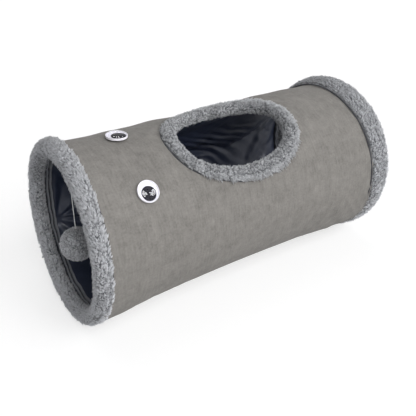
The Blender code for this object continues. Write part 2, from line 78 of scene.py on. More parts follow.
# The soft near mouth stands askew by this much: millimetres along per millimetre up and to the far side
SWAY_BACK = -0.0028
SWAY_UP = 0.018
SWAY_ACROSS = 0.055
SWAY_SPAN = (0.030, 0.078)

# Rims
RIM_RADIUS = 0.150
RIM_INNER_RADIUS = 0.1215
RIM_NOSE = 0.014
NEAR_BANDS = (0.026, 0.030)
FAR_BANDS = (0.046, 0.030)
NEAR_PLUSH_INSIDE = 0.0235
FAR_SET_BACK = 0.0038
FAR_SPAN = (0.556, 0.590)
RIM_SLOT = 0.0095
RIM_STEPS = 640
HOOP_INSET = 0.012

# Peek hole and its trim
HOLE_FROM_MOUTH = 0.288
HOLE_LENGTH = 0.190
HOLE_WIDTH = 0.117
TRIM_WIDTH = 0.027
TRIM_NOSE = 0.009
TRIM_FOLD = 0.006
TRIM_PROUD = 0.007
TRIM_INSIDE = 0.005
TRIM_STEPS = 400
TRIM_SHIFT = 0.0030

# Cloth layers, which start this deep in the fold of the plush. The lining is cut larger than its tube by its
# slack, is sewn up to these places at both mouths and round the hole, and is tacked inside the near mouth and
# here and there to the coil. A bulge outwards is turned in at a share of its height. Places are (along,
# angle), and grids are (rows, columns)
LAYER_START = 0.016
LAYER_END = TUNNEL_LENGTH - LAYER_START
HEM = TRIM_FOLD + 0.003
SLEEVE_GRID = (190, 300)
LINING_GRID = (117, 180)
LINING_SLACK = 0.06
LINING_LIMIT = 0.024
MOUTH_TACK = (0.046, math.radians(-134))
BALL_REACHES = (0.144, math.radians(24.4))
TACK_RADIUS = 0.0045
SEWN_NEAR = 0.036
SEWN_FAR = TUNNEL_LENGTH - 0.044
SEWN_ROUND_HOLE = 0.010
OUTWARD_SHARE = 0.35
CLOTH_FRAMES = 26
CLOTH_GRAVITY = 0.5
OFF_FLOOR = 0.0001

# Pile: the fleece body lies this far inside the CAD solid, and the fibres reach a little past it
FLEECE_INSET = 0.0024
PILE_LENGTH = 0.0052
PILE_THICKNESS = 0.00060
TUFT_SPACING = 0.0032
CURL_SIZE = 0.0046
FIBRES_PER_TUFT = 10

# Seeds, so that each run is the same
SEED = 7


def tunnel_points(along, radius, angle):
    """Points in the row frame, as one array with x, y and z last."""
    along, radius, angle = np.broadcast_arrays(along, radius, angle)
    turn = angle + ROLL
    across, up = -radius * np.sin(turn), radius * np.cos(turn)
    sway = smooth_step(SWAY_SPAN[1], SWAY_SPAN[0], along) * (SWAY_BACK + SWAY_UP * up + SWAY_ACROSS * across)
    sway = sway - FAR_SET_BACK * smooth_step(*FAR_SPAN, along)
    return np.stack((along + sway - TUNNEL_LENGTH / 2, across, AXIS_HEIGHT + up), axis=-1)


def sleeve_radius(along):
    """Outer radius of the sleeve: drawn in by an even bow between the rims."""
    start, end = NEAR_BANDS[0], TUNNEL_LENGTH - FAR_BANDS[0]
    share = np.clip((along - start) / (end - start), 0, 1)
    return SLEEVE_RADIUS - WAIST_DEPTH * 4 * share * (1 - share)


def smooth_step(low, high, value):
    share = np.clip((value - low) / (high - low), 0, 1)
    return share * share * (3 - 2 * share)


def bump(value, centre, width):
    return np.exp(-(((value - centre) / width) ** 2))


def full_turn(steps):
    return np.linspace(0, math.tau, steps, endpoint=False)


def unit(vectors):
    return vectors / np.maximum(np.linalg.norm(vectors, axis=-1, keepdims=True), 1e-12)


def keep_off_floor(points, least=OFF_FLOOR):
    points[..., 2] = np.maximum(points[..., 2], least)


def noise_at(points, size, seed=0):
    """Smooth noise from -1 to 1 at each point, with features of about that size."""
    flat = np.asarray(points, float).reshape(-1, 3) / size + seed * 17.31
    values = np.fromiter((noise.noise(p) for p in flat.tolist()), float, len(flat))
    return values.reshape(np.shape(points)[:-1])


def billow(points, size, seed=0):
    """Rounded bumps with sharp creases between them, from 0 to about 1."""
    return np.abs(noise_at(points, size, seed)) * 1.6


def mesh_from_arrays(name, points, faces):
    """A mesh from an array of points and one of faces, which all have as many corners."""
    points = np.asarray(points, np.float32).reshape(-1, 3)
    count, corners = faces.shape
    mesh = bpy.data.meshes.new(name)
    mesh.vertices.add(len(points))
    mesh.vertices.foreach_set("co", points.ravel())
    mesh.loops.add(count * corners)
    mesh.loops.foreach_set("vertex_index", faces.astype(np.int32).ravel())
    mesh.polygons.add(count)
    mesh.polygons.foreach_set("loop_start", np.arange(0, count * corners, corners, dtype=np.int32))
    mesh.update(calc_edges=True)
    mesh.validate()
    mesh.shade_smooth()
    return mesh


def add_uv(mesh, name, places):
    """A UV map from one place for each face corner."""
    layer = mesh.uv_layers.new(name=name)
    layer.data.foreach_set("uv", np.asarray(places, np.float32).ravel())


def grid_mesh(name, points, rows_close=False, columns_close=False, uv_steps=None, attributes=None):
    """A mesh of quads over a grid of points. uv_steps is the size of a step each way in its UV map."""
    rows, columns = points.shape[:2]
    row = np.arange(rows if rows_close else rows - 1)
    column = np.arange(columns if columns_close else columns - 1)
    row_count, column_count = len(row), len(column)
    row, column = (grid.ravel() for grid in np.meshgrid(row, column, indexing="ij"))
    corner_rows = np.stack((row, row, row + 1, row + 1), axis=1)
    corner_columns = np.stack((column, column + 1, column + 1, column), axis=1)
    mesh = mesh_from_arrays(name, points, (corner_rows % rows) * columns + corner_columns % columns)
    if uv_steps:
        add_uv(mesh, "cloth", np.stack((corner_rows * uv_steps[0], corner_columns * uv_steps[1]), axis=-1))
    shares = np.stack((corner_rows / row_count, corner_columns / column_count), axis=-1)
    add_uv(mesh, "OFBake", shares * 0.99 + 0.005)
    for attribute, values in (attributes or {}).items():
        add_attribute(mesh, attribute, values)
    return mesh


def add_attribute(mesh, name, values):
    layer = mesh.attributes.new(name, "FLOAT", "POINT")
    layer.data.foreach_set("value", np.asarray(values, np.float32).ravel())


def add_object(name, data):
    made = bpy.data.objects.new(name, data)
    bpy.context.scene.collection.objects.link(made)
    return made


def add_piece(name, mesh, material, body, replaces=()):
    """Puts a mesh in the scene as a piece that rides on a body and stands for CAD nodes."""
    piece = add_object(name, mesh)
    mesh.materials.append(material)
    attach(piece, body)
    if replaces:
        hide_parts(*replaces)
    return piece


def fold_up(piece):
    """Gives a soft piece of the tube its own copy of its mesh."""
    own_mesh(piece)


def edit_mesh(mesh, change):
    """Makes a change to the mesh in its editable form."""
    work = bmesh.new()
    work.from_mesh(mesh)
    work.verts.ensure_lookup_table()
    change(work)
    work.to_mesh(mesh)
    work.free()


def grid_normals(points, rows_close, columns_close):
    """Unit normals of a smooth grid, from its neighbours' places."""
    def slope(axis, closed):
        if closed:
            return np.roll(points, -1, axis) - np.roll(points, 1, axis)
        return np.gradient(points, axis=axis)

    normals = np.cross(slope(0, rows_close), slope(1, columns_close))
    return unit(normals)


# Materials

CLEAR_MIRROR = 0.013


def new_material(name, roughness, **sockets):
    made = bpy.data.materials.new(name)
    made.use_nodes = True
    shader = made.node_tree.nodes["Principled BSDF"]
    shader.inputs["Roughness"].default_value = roughness
    for socket, value in sockets.items():
        shader.inputs[socket.replace("_", " ")].default_value = value
    return made, made.node_tree, shader


def add_node(tree, kind, inputs=None, **settings):
    node = tree.nodes.new(kind)
    for key, value in settings.items():
        setattr(node, key, value)
    for key, value in (inputs or {}).items():
        if isinstance(value, bpy.types.NodeSocket):
            tree.links.new(value, node.inputs[key])
        else:
            node.inputs[key].default_value = value
    return node


def cloth_coordinates(tree, scale):
    """The UV map in metres, scaled along and around the tunnel."""
    source = add_node(tree, "ShaderNodeUVMap", uv_map="cloth").outputs[0]
    return add_node(tree, "ShaderNodeMapping", {"Vector": source, "Scale": (*scale, 1)}).outputs[0]


def object_coordinates(tree):
    return add_node(tree, "ShaderNodeTexCoord").outputs["Object"]


def noise_node(tree, vector, scale, detail=4.0, roughness=0.55, distortion=0.0):
    inputs = {"Vector": vector, "Scale": scale, "Detail": detail}
    inputs |= {"Roughness": roughness, "Distortion": distortion}
    return add_node(tree, "ShaderNodeTexNoise", inputs).outputs[0]


def attribute_node(tree, name):
    return add_node(tree, "ShaderNodeAttribute", attribute_name=name).outputs["Fac"]


def maths(tree, operation, first, second):
    return add_node(tree, "ShaderNodeMath", {0: first, 1: second}, operation=operation).outputs[0]


def spread(tree, value, low, high, new_low=0.0, new_high=1.0):
    """The value with its range from low to high stretched to the new one, and held there."""
    inputs = {"Value": value, "From Min": low, "From Max": high, "To Min": new_low, "To Max": new_high}
    return add_node(tree, "ShaderNodeMapRange", inputs).outputs[0]


def blend_colours(tree, factor, first, second):
    node = add_node(tree, "ShaderNodeMix", data_type="RGBA")
    for socket, value in ((node.inputs[0], factor), (node.inputs[6], first), (node.inputs[7], second)):
        if isinstance(value, bpy.types.NodeSocket):
            tree.links.new(value, socket)
        else:
            socket.default_value = (*value, 1) if isinstance(value, tuple) else value
    return node.outputs[2]


def add_bump(tree, shader, height, distance, strength=1.0, after=None):
    inputs = {"Height": height, "Distance": distance, "Strength": strength}
    if after is not None:
        inputs["Normal"] = after
    made = add_node(tree, "ShaderNodeBump", inputs).outputs[0]
    tree.links.new(made, shader.inputs["Normal"])
    return made


def weighted(tree, *terms):
    """The sum of values, each times its share."""
    parts = [maths(tree, "MULTIPLY", value, share) for value, share in terms]
    total = parts[0]
    for part in parts[1:]:
        total = maths(tree, "ADD", total, part)
    return total


def vary_roughness(tree, shader, value, low, high):
    tree.links.new(spread(tree, value, 0.3, 0.7, low, high), shader.inputs["Roughness"])


def paint(tree, shader, factor, first, second):
    """The shader's colour goes from the first to the second with the factor."""
    tree.links.new(blend_colours(tree, factor, first, second), shader.inputs["Base Color"])


def suede():
    """Matt suede-like cloth: mottled nap, with faint streaks that run round the tunnel."""
    sheen = {"Sheen_Weight": 0.05, "Sheen_Roughness": 0.5}
    made, tree, shader = new_material("suede", 0.92, Specular_IOR_Level=0.2, **sheen)
    plain = cloth_coordinates(tree, (1, 1))
    streaky = cloth_coordinates(tree, (1, 0.10))
    clouds = noise_node(tree, plain, 16, detail=3, roughness=0.6)
    patches = noise_node(tree, plain, 60, detail=3, roughness=0.65)
    nap = noise_node(tree, plain, 300, detail=3, roughness=0.75)
    streaks = noise_node(tree, streaky, 330, detail=3, roughness=0.7)
    mixed = weighted(tree, (patches, 0.26), (nap, 0.30), (streaks, 0.26), (clouds, 0.18))
    paint(tree, shader, spread(tree, mixed, 0.38, 0.62), (0.128, 0.122, 0.113), (0.222, 0.212, 0.198))
    fibres = noise_node(tree, plain, 1500, detail=2, roughness=0.7)
    first = add_bump(tree, shader, patches, 0.0016, 0.35)
    second = add_bump(tree, shader, nap, 0.0005, 0.5, first)
    add_bump(tree, shader, fibres, 0.0002, 0.5, second)
    return made


def crinkle_nylon():
    """Thin dark woven nylon: glossy enough to catch the light on each crease."""
    made, tree, shader = new_material("crinkle_nylon", 0.4, Specular_IOR_Level=0.38)
    plain = cloth_coordinates(tree, (1, 1))
    patches = noise_node(tree, plain, 25, detail=4)
    paint(tree, shader, patches, (0.011, 0.015, 0.030), (0.028, 0.036, 0.064))
    vary_roughness(tree, shader, patches, 0.32, 0.46)
    along, around = (noise_node(tree, cloth_coordinates(tree, way), 1400, 1) for way in ((1, 0), (0, 1)))
    threads = maths(tree, "ADD", along, around)
    creases = noise_node(tree, plain, 60, detail=4, roughness=0.55, distortion=0.6)
    first = add_bump(tree, shader, creases, 0.0010, 0.3)
    add_bump(tree, shader, threads, 0.0001, 0.4, first)
    return made


def plush(name, shaded_root, tip):
    """Blue-grey plush with painted shade: dark at the roots and between the curls, light at the tips.
    Tip and tone are set on each vertex, and both carry painted shade.
    """
    sheen = {"Sheen_Weight": 0.25, "Sheen_Roughness": 0.4}
    made, tree, shader = new_material(name, 0.95, Specular_IOR_Level=0.2, **sheen)
    shade = weighted(tree, (attribute_node(tree, "tip"), 0.7), (attribute_node(tree, "tone"), 0.55))
    paint(tree, shader, spread(tree, shade, 0.05, 0.85), shaded_root, tip)
    fibres = noise_node(tree, object_coordinates(tree), 1300, detail=2, roughness=0.7)
    add_bump(tree, shader, fibres, 0.0006, 0.6)
    return made


def woven_tape():
    made, tree, shader = new_material("woven_tape", 0.75)
    inputs = {"Vector": object_coordinates(tree), "Scale": 420, "Distortion": 0.6}
    weave = add_node(tree, "ShaderNodeTexWave", inputs, wave_type="BANDS").outputs[1]
    paint(tree, shader, weave, (0.018, 0.019, 0.026), (0.045, 0.047, 0.058))
    add_bump(tree, shader, weave, 0.0002, 0.6)
    return made


def seam_binding():
    """The grey cloth that binds the seam allowance inside a mouth, with painted shade in its grooves."""
    made, tree, shader = new_material("seam_binding", 0.8, Sheen_Weight=0.2)
    fuzz = noise_node(tree, cloth_coordinates(tree, (1, 1)), 700, detail=3, roughness=0.7)
    cloth = blend_colours(tree, fuzz, (0.075, 0.079, 0.090), (0.31, 0.32, 0.35))
    paint(tree, shader, attribute_node(tree, "tip"), (0.030, 0.033, 0.042), cloth)
    add_bump(tree, shader, fuzz, 0.0006, 0.7)
    return made


def drawn_steel(name, colour, roughness):
    """Wire and crimped tube: drawing lines and a little tarnish."""
    made, tree, shader = new_material(name, roughness, Metallic=1.0)
    place = object_coordinates(tree)
    lines = noise_node(tree, place, 900, detail=3)
    paint(tree, shader, noise_node(tree, place, 60, detail=4), tuple(part * 0.7 for part in colour), colour)
    vary_roughness(tree, shader, lines, roughness - 0.08, roughness + 0.1)
    return made


def moulded_plastic(name, first, second, roughness, specular=0.5):
    """Glossy moulded plastic with a faint waviness."""
    made, tree, shader = new_material(name, roughness, Specular_IOR_Level=specular)
    place = object_coordinates(tree)
    clouds = noise_node(tree, place, 150, detail=3)
    paint(tree, shader, clouds, first, second)
    vary_roughness(tree, shader, clouds, roughness - 0.05, roughness + 0.08)
    add_bump(tree, shader, noise_node(tree, place, 300, detail=2), 0.0002, 0.15)
    return made


def clear_plastic():
    """A clear shell that lets the light through and mirrors more towards its edge, from both sides."""
    made = bpy.data.materials.new("clear_plastic")
    made.use_nodes = True
    tree = made.node_tree
    tree.nodes.remove(tree.nodes["Principled BSDF"])
    facing = add_node(tree, "ShaderNodeLayerWeight", {"Blend": 0.5}).outputs["Facing"]
    grazing = maths(tree, "POWER", facing, 5.0)
    mirror = spread(tree, grazing, 0.0, 1.0, CLEAR_MIRROR, 0.9)
    through = add_node(tree, "ShaderNodeBsdfTransparent", {"Color": (0.98, 0.98, 0.99, 1)}).outputs[0]
    scratches = noise_node(tree, object_coordinates(tree), 400, detail=4)
    rough = spread(tree, scratches, 0.45, 0.75, 0.0, 0.012)
    gloss = add_node(tree, "ShaderNodeBsdfGlossy", {"Color": (1, 1, 1, 1), "Roughness": rough}).outputs[0]
    mixed = add_node(tree, "ShaderNodeMixShader", {0: mirror, 1: through, 2: gloss}).outputs[0]
    tree.links.new(mixed, tree.nodes["Material Output"].inputs["Surface"])
    return made


def fibrous(name, roughness, sheen, scale, texture, first, second, bumps):
    """Loose or spun fibres: the yarn of the string and the wadding in the ball."""
    made, tree, shader = new_material(name, roughness, Sheen_Weight=sheen)
    fibres = noise_node(tree, object_coordinates(tree), scale, **texture)
    paint(tree, shader, fibres, first, second)
    add_bump(tree, shader, fibres, *bumps)
    return made


# Plush


def pick_points(points, normals, weights, count, generator):
    """Places spread evenly over a closed grid's area, each times its weight, with their normals."""
    across = np.linalg.norm(np.roll(points, -1, 0) - points, axis=-1)
    down = np.linalg.norm(np.roll(points, -1, 1) - points, axis=-1)
    chance = (across * down * weights).ravel()
    picked = generator.choice(len(chance), count, p=chance / chance.sum())
    rows, columns = points.shape[:2]
    row, column = picked // columns, picked % columns
    share_row, share_column = generator.uniform(0, 1, (2, count, 1))
    corner = points[row, column]
    place = corner + (points[(row + 1) % rows, column] - corner) * share_row
    place = place + (points[row, (column + 1) % columns] - corner) * share_column
    return place, normals[row, column]


def nearest(places, centres):
    """The index of the nearest centre to each place."""
    tree = KDTree(len(centres))
    for index, centre in enumerate(centres.tolist()):
        tree.insert(centre, index)
    tree.balance()
    return np.fromiter((tree.find(place)[1] for place in places.tolist()), int, len(places))


def tangent_part(vectors, normals):
    return vectors - (vectors * normals).sum(-1, keepdims=True) * normals


def pile_mesh(name, roots, normals, generator, length, thickness, spacing, combed, gather=0.58):
    """Plush pile: short bent fibres, thickest in the middle, that gather in tufts whose tips lean together.

    roots and normals give each fibre's place. combed is how far the tufts lean round the tunnel and along it.
    """
    count = len(roots)
    tuft_count = max(8, count // FIBRES_PER_TUFT)
    centres = generator.choice(count, tuft_count, replace=False)
    own = nearest(roots, roots[centres])
    middle, out = roots[centres], normals[centres]
    curl = np.stack([noise_at(middle, CURL_SIZE * 2.2, seed) for seed in (11, 12, 13)], axis=-1) * 1.5
    round_way = unit(np.cross(out, (1.0, 0.0, 0.0)))
    lean = round_way * combed[0] + np.array((combed[1], 0.0, 0.0))
    curl = tangent_part(curl + generator.normal(0, 0.35, curl.shape) + lean, out)
    tall = length * generator.uniform(0.70, 1.20, (tuft_count, 1))
    tuft_tips = middle + out * tall * 0.95 + curl * tall * 0.55
    tuft_tone = generator.uniform(0, 1, tuft_count)

    reach = tall[own] * generator.uniform(0.8, 1.1, (count, 1))
    stray = tangent_part(generator.normal(0, 0.22, (count, 3)), normals)
    free_tip = roots + normals * reach * 0.9 + (curl[own] * 0.5 + stray) * reach
    tip = free_tip + (tuft_tips[own] - free_tip) * gather + generator.normal(0, spacing * 0.10, (count, 3))
    outside = np.clip(np.linalg.norm(roots - middle[own], axis=-1) / (spacing * 0.6), 0, 1)
    tip -= normals * (outside ** 2 * length * 0.22)[:, None]
    waist = roots + normals * reach * 0.50 + (tip - roots - normals * reach * 0.9) * 0.22
    side = unit(np.cross(tip - roots, generator.normal(0, 1, (count, 3))))
    third = unit(np.cross(tip - roots, side))
    radius = thickness / 2 * generator.uniform(0.7, 1.2, (count, 1))
    turns = [math.tau * corner / 3 for corner in range(3)]
    ring = [waist + (side * math.cos(turn) + third * math.sin(turn)) * radius for turn in turns]
    points = np.stack([roots - normals * length * 0.12, *ring, tip], axis=1)
    keep_off_floor(points)

    pattern = np.array([(0, 2, 1), (0, 3, 2), (0, 1, 3), (1, 2, 4), (2, 3, 4), (3, 1, 4)])
    faces = (np.arange(count)[:, None, None] * 5 + pattern[None]).reshape(-1, 3)
    mesh = mesh_from_arrays(name, points, faces)
    # Painted shade: a fibre is darker towards the edge of its tuft, besides each tuft's random tone
    tone = np.clip(0.45 * (1 - outside) + 0.50 * tuft_tone[own] + generator.normal(0.02, 0.17, count), 0, 1)
    # Painted shade: the tip attribute darkens each fibre towards its root
    height = np.array((0.0, 0.55, 0.55, 0.55, 1.0))
    add_attribute(mesh, "tip", np.tile(height, count))
    add_attribute(mesh, "tone", np.repeat(tone, 5))
    sway = np.array((0, -0.012, 0, 0.012, 0))
    across = 0.03 + 0.94 * tone[:, None, None] + sway[pattern][None]
    up = np.broadcast_to((0.03 + 0.94 * height)[pattern][None], across.shape)
    add_uv(mesh, "OFBake", np.stack((across, up), axis=-1))
    return mesh


def fleece(points, normals, weights, amount=0.0009, seed=0):
    """The same grid raised into curls, and how high each vertex stands from 0 to 1."""
    broad = billow(points, CURL_SIZE * 2.2, seed)
    fine = billow(points, CURL_SIZE, seed + 3)
    height = np.clip(0.55 * broad + 0.75 * fine, 0, 1)
    raised = points + normals * ((height - 0.4) * weights * amount)[..., None]
    keep_off_floor(raised, 0)
    return raised, height


def plush_pieces(name, points, normals, weights, zones, seed, body, replaces, material, shrink=False):
    """A closed fleece body, and the pile that stands on each of its zones, as separate pieces.

    zones maps a zone's name to its weights, its number of fibres and the way it is combed.
    """
    raised, height = fleece(points, normals, weights, seed=seed)
    # Painted shade: the fleece body is darker in the valleys between its curls, by their height
    attributes = {"tip": height * 0.35, "tone": height * 0.5}
    mesh = grid_mesh(f"{name}_fleece", raised, True, True, attributes=attributes)
    base = add_piece(f"{name}_fleece", mesh, material, body, replaces)
    made = [base]
    for index, (zone, (zone_weights, count, combed)) in enumerate(zones.items()):
        generator = np.random.default_rng(SEED + 10 * seed + index)
        roots, out = pick_points(raised, normals, weights * zone_weights, count, generator)
        length = PILE_LENGTH * (1.25 if zone == "pile_fringe" else 1)
        label = f"{name}_{zone}"
        pile = pile_mesh(label, roots, out, generator, length, PILE_THICKNESS, TUFT_SPACING, combed)
        made.append(add_piece(label, pile, material, body))
    if shrink:
        for piece in made:
            fold_up(piece)
    return made


def resample(route, steps):
    """The same line with so many points at even distances."""
    runs = np.concatenate(([0], np.cumsum(np.linalg.norm(np.diff(route, axis=0), axis=1))))
    wanted = np.linspace(0, runs[-1], steps)
    return np.stack([np.interp(wanted, runs, route[:, axis]) for axis in range(route.shape[1])], axis=-1)


def strip_section(bands, nose, crowns, edges, slot_end, steps, fullness=2.2):
    """The section of a plush strip folded over an edge, as (depth, height) points, and a weight for each.

    bands, crowns and edges each hold the outer and the inner value: how wide the strip lies, how high it
    crowns, and where it meets the cloth. The section ends with the slot that holds the cloth.
    """
    inset = FLEECE_INSET
    outer_crown, inner_crown = crowns[0] - inset, crowns[1] + inset
    middle, half = (outer_crown + inner_crown) / 2, (outer_crown - inner_crown) / 2
    route = []
    for share in np.linspace(1, 0, 9, endpoint=False):
        fall = math.cos(math.pi / 2 * share ** fullness)
        route.append((nose + (bands[0] - inset - nose) * share, edges[0] + (outer_crown - edges[0]) * fall))
    for turn in np.linspace(0, math.pi, 24):
        route.append((nose - (nose - inset) * math.sin(turn), middle + half * math.cos(turn)))
    for share in np.linspace(0, 1, 10)[1:]:
        fall = math.cos(math.pi / 2 * share ** fullness)
        route.append((nose + (bands[1] - inset - nose) * share, edges[1] - (edges[1] - inner_crown) * fall))
    visible = resample(np.array(route), steps)
    share = np.linspace(0, 1, steps)
    weights = smooth_step(0, 0.04, share) * smooth_step(1, 0.96, share)
    gap = 0.0004
    slot = [(bands[1] - inset - 0.001, edges[1] + gap), (slot_end, edges[1] + gap)]
    slot += [(slot_end, edges[0] - gap), (bands[0] - inset - 0.001, edges[0] - gap)]
    return np.concatenate((visible, np.array(slot))), np.concatenate((weights, np.zeros(len(slot))))


def strip_skin(points, heart, weights):
    """A strip's normals, which point away from its middle line, and its weights, for each point."""
    normals = grid_normals(points, True, True)
    flip = np.sign(((points - np.broadcast_to(heart, points.shape)) * normals).sum(-1, keepdims=True))
    return normals * np.where(flip == 0, 1, flip), np.broadcast_to(weights[None, :], points.shape[:2])


def rim_groove(depth, radius, angles):
    """How deep the worn, wandering parting in the near rim's pile is."""
    wander = 0.0165 + 0.0022 * np.sin(angles * 3 + 0.4) + 0.0010 * np.sin(angles * 11)
    starts = smooth_step(math.radians(30), math.radians(55), angles)
    along_it = starts * smooth_step(math.radians(160), math.radians(125), angles)
    return 0.0024 * along_it * np.exp(-((depth - wander) / 0.0016) ** 2) * (radius > SLEEVE_RADIUS)


def far_border(angles):
    """How much lower, and how much nearer, the sewn edge of the far rim lies round the tunnel."""
    turn = (angles + ROLL + math.pi) % math.tau - math.pi
    lower = 0.0036 * bump(turn, math.radians(2), 0.62)
    nearer = 0.0070 * bump(turn, math.radians(26), 0.62) + 0.0022 * bump(turn, math.radians(75), 0.5)
    return lower, nearer


def rim_slump(radius, angles):
    """How much the near rim is pressed in where it stands on the floor and at its upper far side."""
    turn = (angles + ROLL + math.pi) % math.tau - math.pi
    pressed = 0.0026 * smooth_step(-0.3, -0.8, np.cos(turn)) + 0.0026 * bump(turn, math.radians(-56), 0.42)
    return pressed * np.clip((radius - 0.134) / (RIM_RADIUS - 0.134), 0, 1)


def build_rim(side, materials):
    near = side == "near"
    bands = (NEAR_BANDS[0], NEAR_PLUSH_INSIDE) if near else FAR_BANDS
    edges = (SLEEVE_RADIUS + CLEARANCE, SLEEVE_RADIUS - FABRIC_DEPTH - CLEARANCE)
    steps = 60 if near else 70
    section, weights = strip_section(bands, RIM_NOSE, (RIM_RADIUS, RIM_INNER_RADIUS), edges, RIM_SLOT, steps)
    angles = full_turn(RIM_STEPS)[:, None]
    depth, radius = section[:, 0][None, :], section[:, 1][None, :]
    if near:
        radius = radius - rim_groove(depth, radius, angles) - rim_slump(radius, angles)
    else:
        lower, nearer = far_border(angles)
        outside = smooth_step(0.018, 0.044, depth) * (radius > SLEEVE_RADIUS - 0.004)
        raised = 0.0016 * bump((angles + ROLL) % math.tau, math.tau - 0.55, 0.5)
        radius = radius - lower * outside + raised * (radius > RIM_RADIUS - 0.006)
        depth = depth + nearer * outside
    along = depth if near else TUNNEL_LENGTH - depth
    points = tunnel_points(along, radius, angles)
    hoop = HOOP_INSET if near else TUNNEL_LENGTH - HOOP_INSET
    heart = tunnel_points(hoop, SLEEVE_RADIUS - COIL_DEPTH, angles)
    normals, weights = strip_skin(points, heart, weights)
    depth, radius = (np.broadcast_to(grid, points.shape[:2]) for grid in (depth, radius))
    outer = (radius > SLEEVE_RADIUS - 0.002) * 1.0
    inner = (radius < SLEEVE_RADIUS - 0.010) * (depth > RIM_NOSE * 0.7)
    front = (1 - outer) * (1 - inner)
    sign = 1 if near else -1
    zones = {
        "pile_outside": (outer, 33000, (1.5, -0.1 * sign)),
        "pile_nose": (front, 30000 if near else 16000, (1.3, 0)),
        "pile_inside": (inner, 14000 if near else 12000, (1.0, 0.25 * sign)),
    }
    plush_pieces(f"{side}_rim", points, normals, weights, zones, 1 if near else 2, f"{side}_end",
                 [f"{side}_rim_plush"], materials["plush"])


def trim_shape(turn):
    """How far out the trim lies round the hole, and how wide it is there as a share of its full width."""
    far, right = smooth_step(0.0, 0.75, -np.sin(turn)), smooth_step(0.3, 1.0, np.cos(turn))
    out = TRIM_SHIFT + 0.0075 * far + 0.0030 * right
    out = out + 0.0020 * bump(turn, math.pi + 0.22, 0.35) + 0.0030 * bump(turn, 2.70, 0.40)
    share = 1 - 0.20 * bump(turn, 2.45, 0.60) + 0.14 * bump(turn, 1.05, 0.5) - 0.08 * far
    share = share - 0.15 * bump(turn, math.pi + 1.15, 0.35)
    return out + 0.0018 * bump(turn, 0.95, 0.45), share


def hole_points(turn, offset, height):
    """Points so far outside the hole's clear edge, measured along the sleeve, and so high over the sleeve."""
    half_length, half_width = HOLE_LENGTH / 2, HOLE_WIDTH / 2
    edge = np.stack((half_length * np.cos(turn), half_width * np.sin(turn)), axis=-1)
    outwards = np.stack((half_width * np.cos(turn), half_length * np.sin(turn)), axis=-1)
    outwards /= np.linalg.norm(outwards, axis=-1, keepdims=True)
    shift, share = trim_shape(turn)
    reach = np.asarray(offset)
    reach = TRIM_FOLD + (reach - TRIM_FOLD) * np.where(reach > TRIM_FOLD, share, 1) + shift
    place = edge + outwards * reach[..., None]
    along = HOLE_FROM_MOUTH + place[..., 0]
    angle = place[..., 1] / float(sleeve_radius(HOLE_FROM_MOUTH))
    lift = 1 + 0.30 * smooth_step(0.2, 0.9, -np.sin(turn)) - 0.24 * bump(turn, math.pi + 1.15, 0.35)
    lift = np.where(np.asarray(height) > 0, lift, 1)
    return tunnel_points(along, sleeve_radius(along) + height * lift, angle)


def build_trim(materials):
    edges = (CLEARANCE, -FABRIC_DEPTH - CLEARANCE)
    crowns = (TRIM_PROUD, -FABRIC_DEPTH - TRIM_INSIDE)
    section, weights = strip_section((TRIM_WIDTH, TRIM_WIDTH), TRIM_NOSE, crowns, edges, TRIM_FOLD, 46)
    turns = full_turn(TRIM_STEPS)[:, None]
    points = hole_points(turns, section[:, 0][None, :], section[:, 1][None, :])
    heart = hole_points(turns, np.full((1, 1), TRIM_FOLD), np.full((1, 1), -FABRIC_DEPTH / 2))
    normals, weights = strip_skin(points, heart, weights)
    height = np.broadcast_to(section[:, 1][None, :], points.shape[:2])
    shown = (height > -FABRIC_DEPTH) * 1.0
    beside = smooth_step(-0.8, 0.2, np.cos(turns - math.radians(50)))
    fringe = shown * (section[:, 0][None, :] > TRIM_WIDTH * 0.62) * beside
    zones = {
        "pile": (shown, 26000, (0.1, 0.35)),
        "pile_inside": (1 - shown, 6000, (0, 0)),
        "pile_fringe": (fringe, 7000, (-1.0, 0.55)),
    }
    # The trim's plush is a darker copy of the rims' plush: painted shade
    plush_pieces("hole_trim", points, normals, weights, zones, 3, "near_end", ["peek_hole_trim"],
                 materials["trim_plush_painted_shade"], True)


# Layers


def layer_grid(rows, columns):
    """The places along and the angles of a cloth layer's grid."""
    along = np.linspace(LAYER_START, LAYER_END, rows)[:, None]
    angle = np.linspace(-math.pi, math.pi, columns, endpoint=False)[None, :]
    return np.broadcast_arrays(along, angle)


def hole_place(along, angle):
    """How far a place lies from the hole's middle, along and around, and its turn round the hole."""
    away, around = along - HOLE_FROM_MOUTH, angle * float(sleeve_radius(HOLE_FROM_MOUTH))
    return away, around, np.arctan2(around / HOLE_WIDTH, away / HOLE_LENGTH) % math.tau


def inside_hole(along, angle, offset):
    """True where a place is inside the hole's oval, grown by the offset and as the trim lies."""
    away, around, turn = hole_place(along, angle)
    grown = offset + trim_shape(turn)[0]
    return (away / (HOLE_LENGTH / 2 + grown)) ** 2 + (around / (HOLE_WIDTH / 2 + grown)) ** 2 < 1


def cloth_layer(name, grid, radius_at, material, node):
    """A tube of cloth with the peek hole left out, at the radius that radius_at gives."""
    rows, columns = grid
    along, angle = layer_grid(rows, columns)
    points = tunnel_points(along, radius_at(along, angle), angle)
    keep_off_floor(points)
    steps = ((LAYER_END - LAYER_START) / (rows - 1), math.tau * SLEEVE_RADIUS / columns)
    mesh = grid_mesh(name, points, False, True, uv_steps=steps)
    gone = np.flatnonzero(inside_hole(along, angle, HEM).ravel())

    def cut_hole(work):
        bmesh.ops.delete(work, geom=[work.verts[index] for index in gone], context="VERTS")

    edit_mesh(mesh, cut_hole)
    layer = add_piece(name, mesh, material, "near_end", [node])
    fold_up(layer)


# The swells of the sleeve's far top side: (place along, width, height)
FAR_TOP_SWELLS = (
    (0.203, 0.032, 0.0026),
    (0.110, 0.020, 0.0016),
    (0.415, 0.030, 0.0030),
    (0.470, 0.050, 0.0018),
)


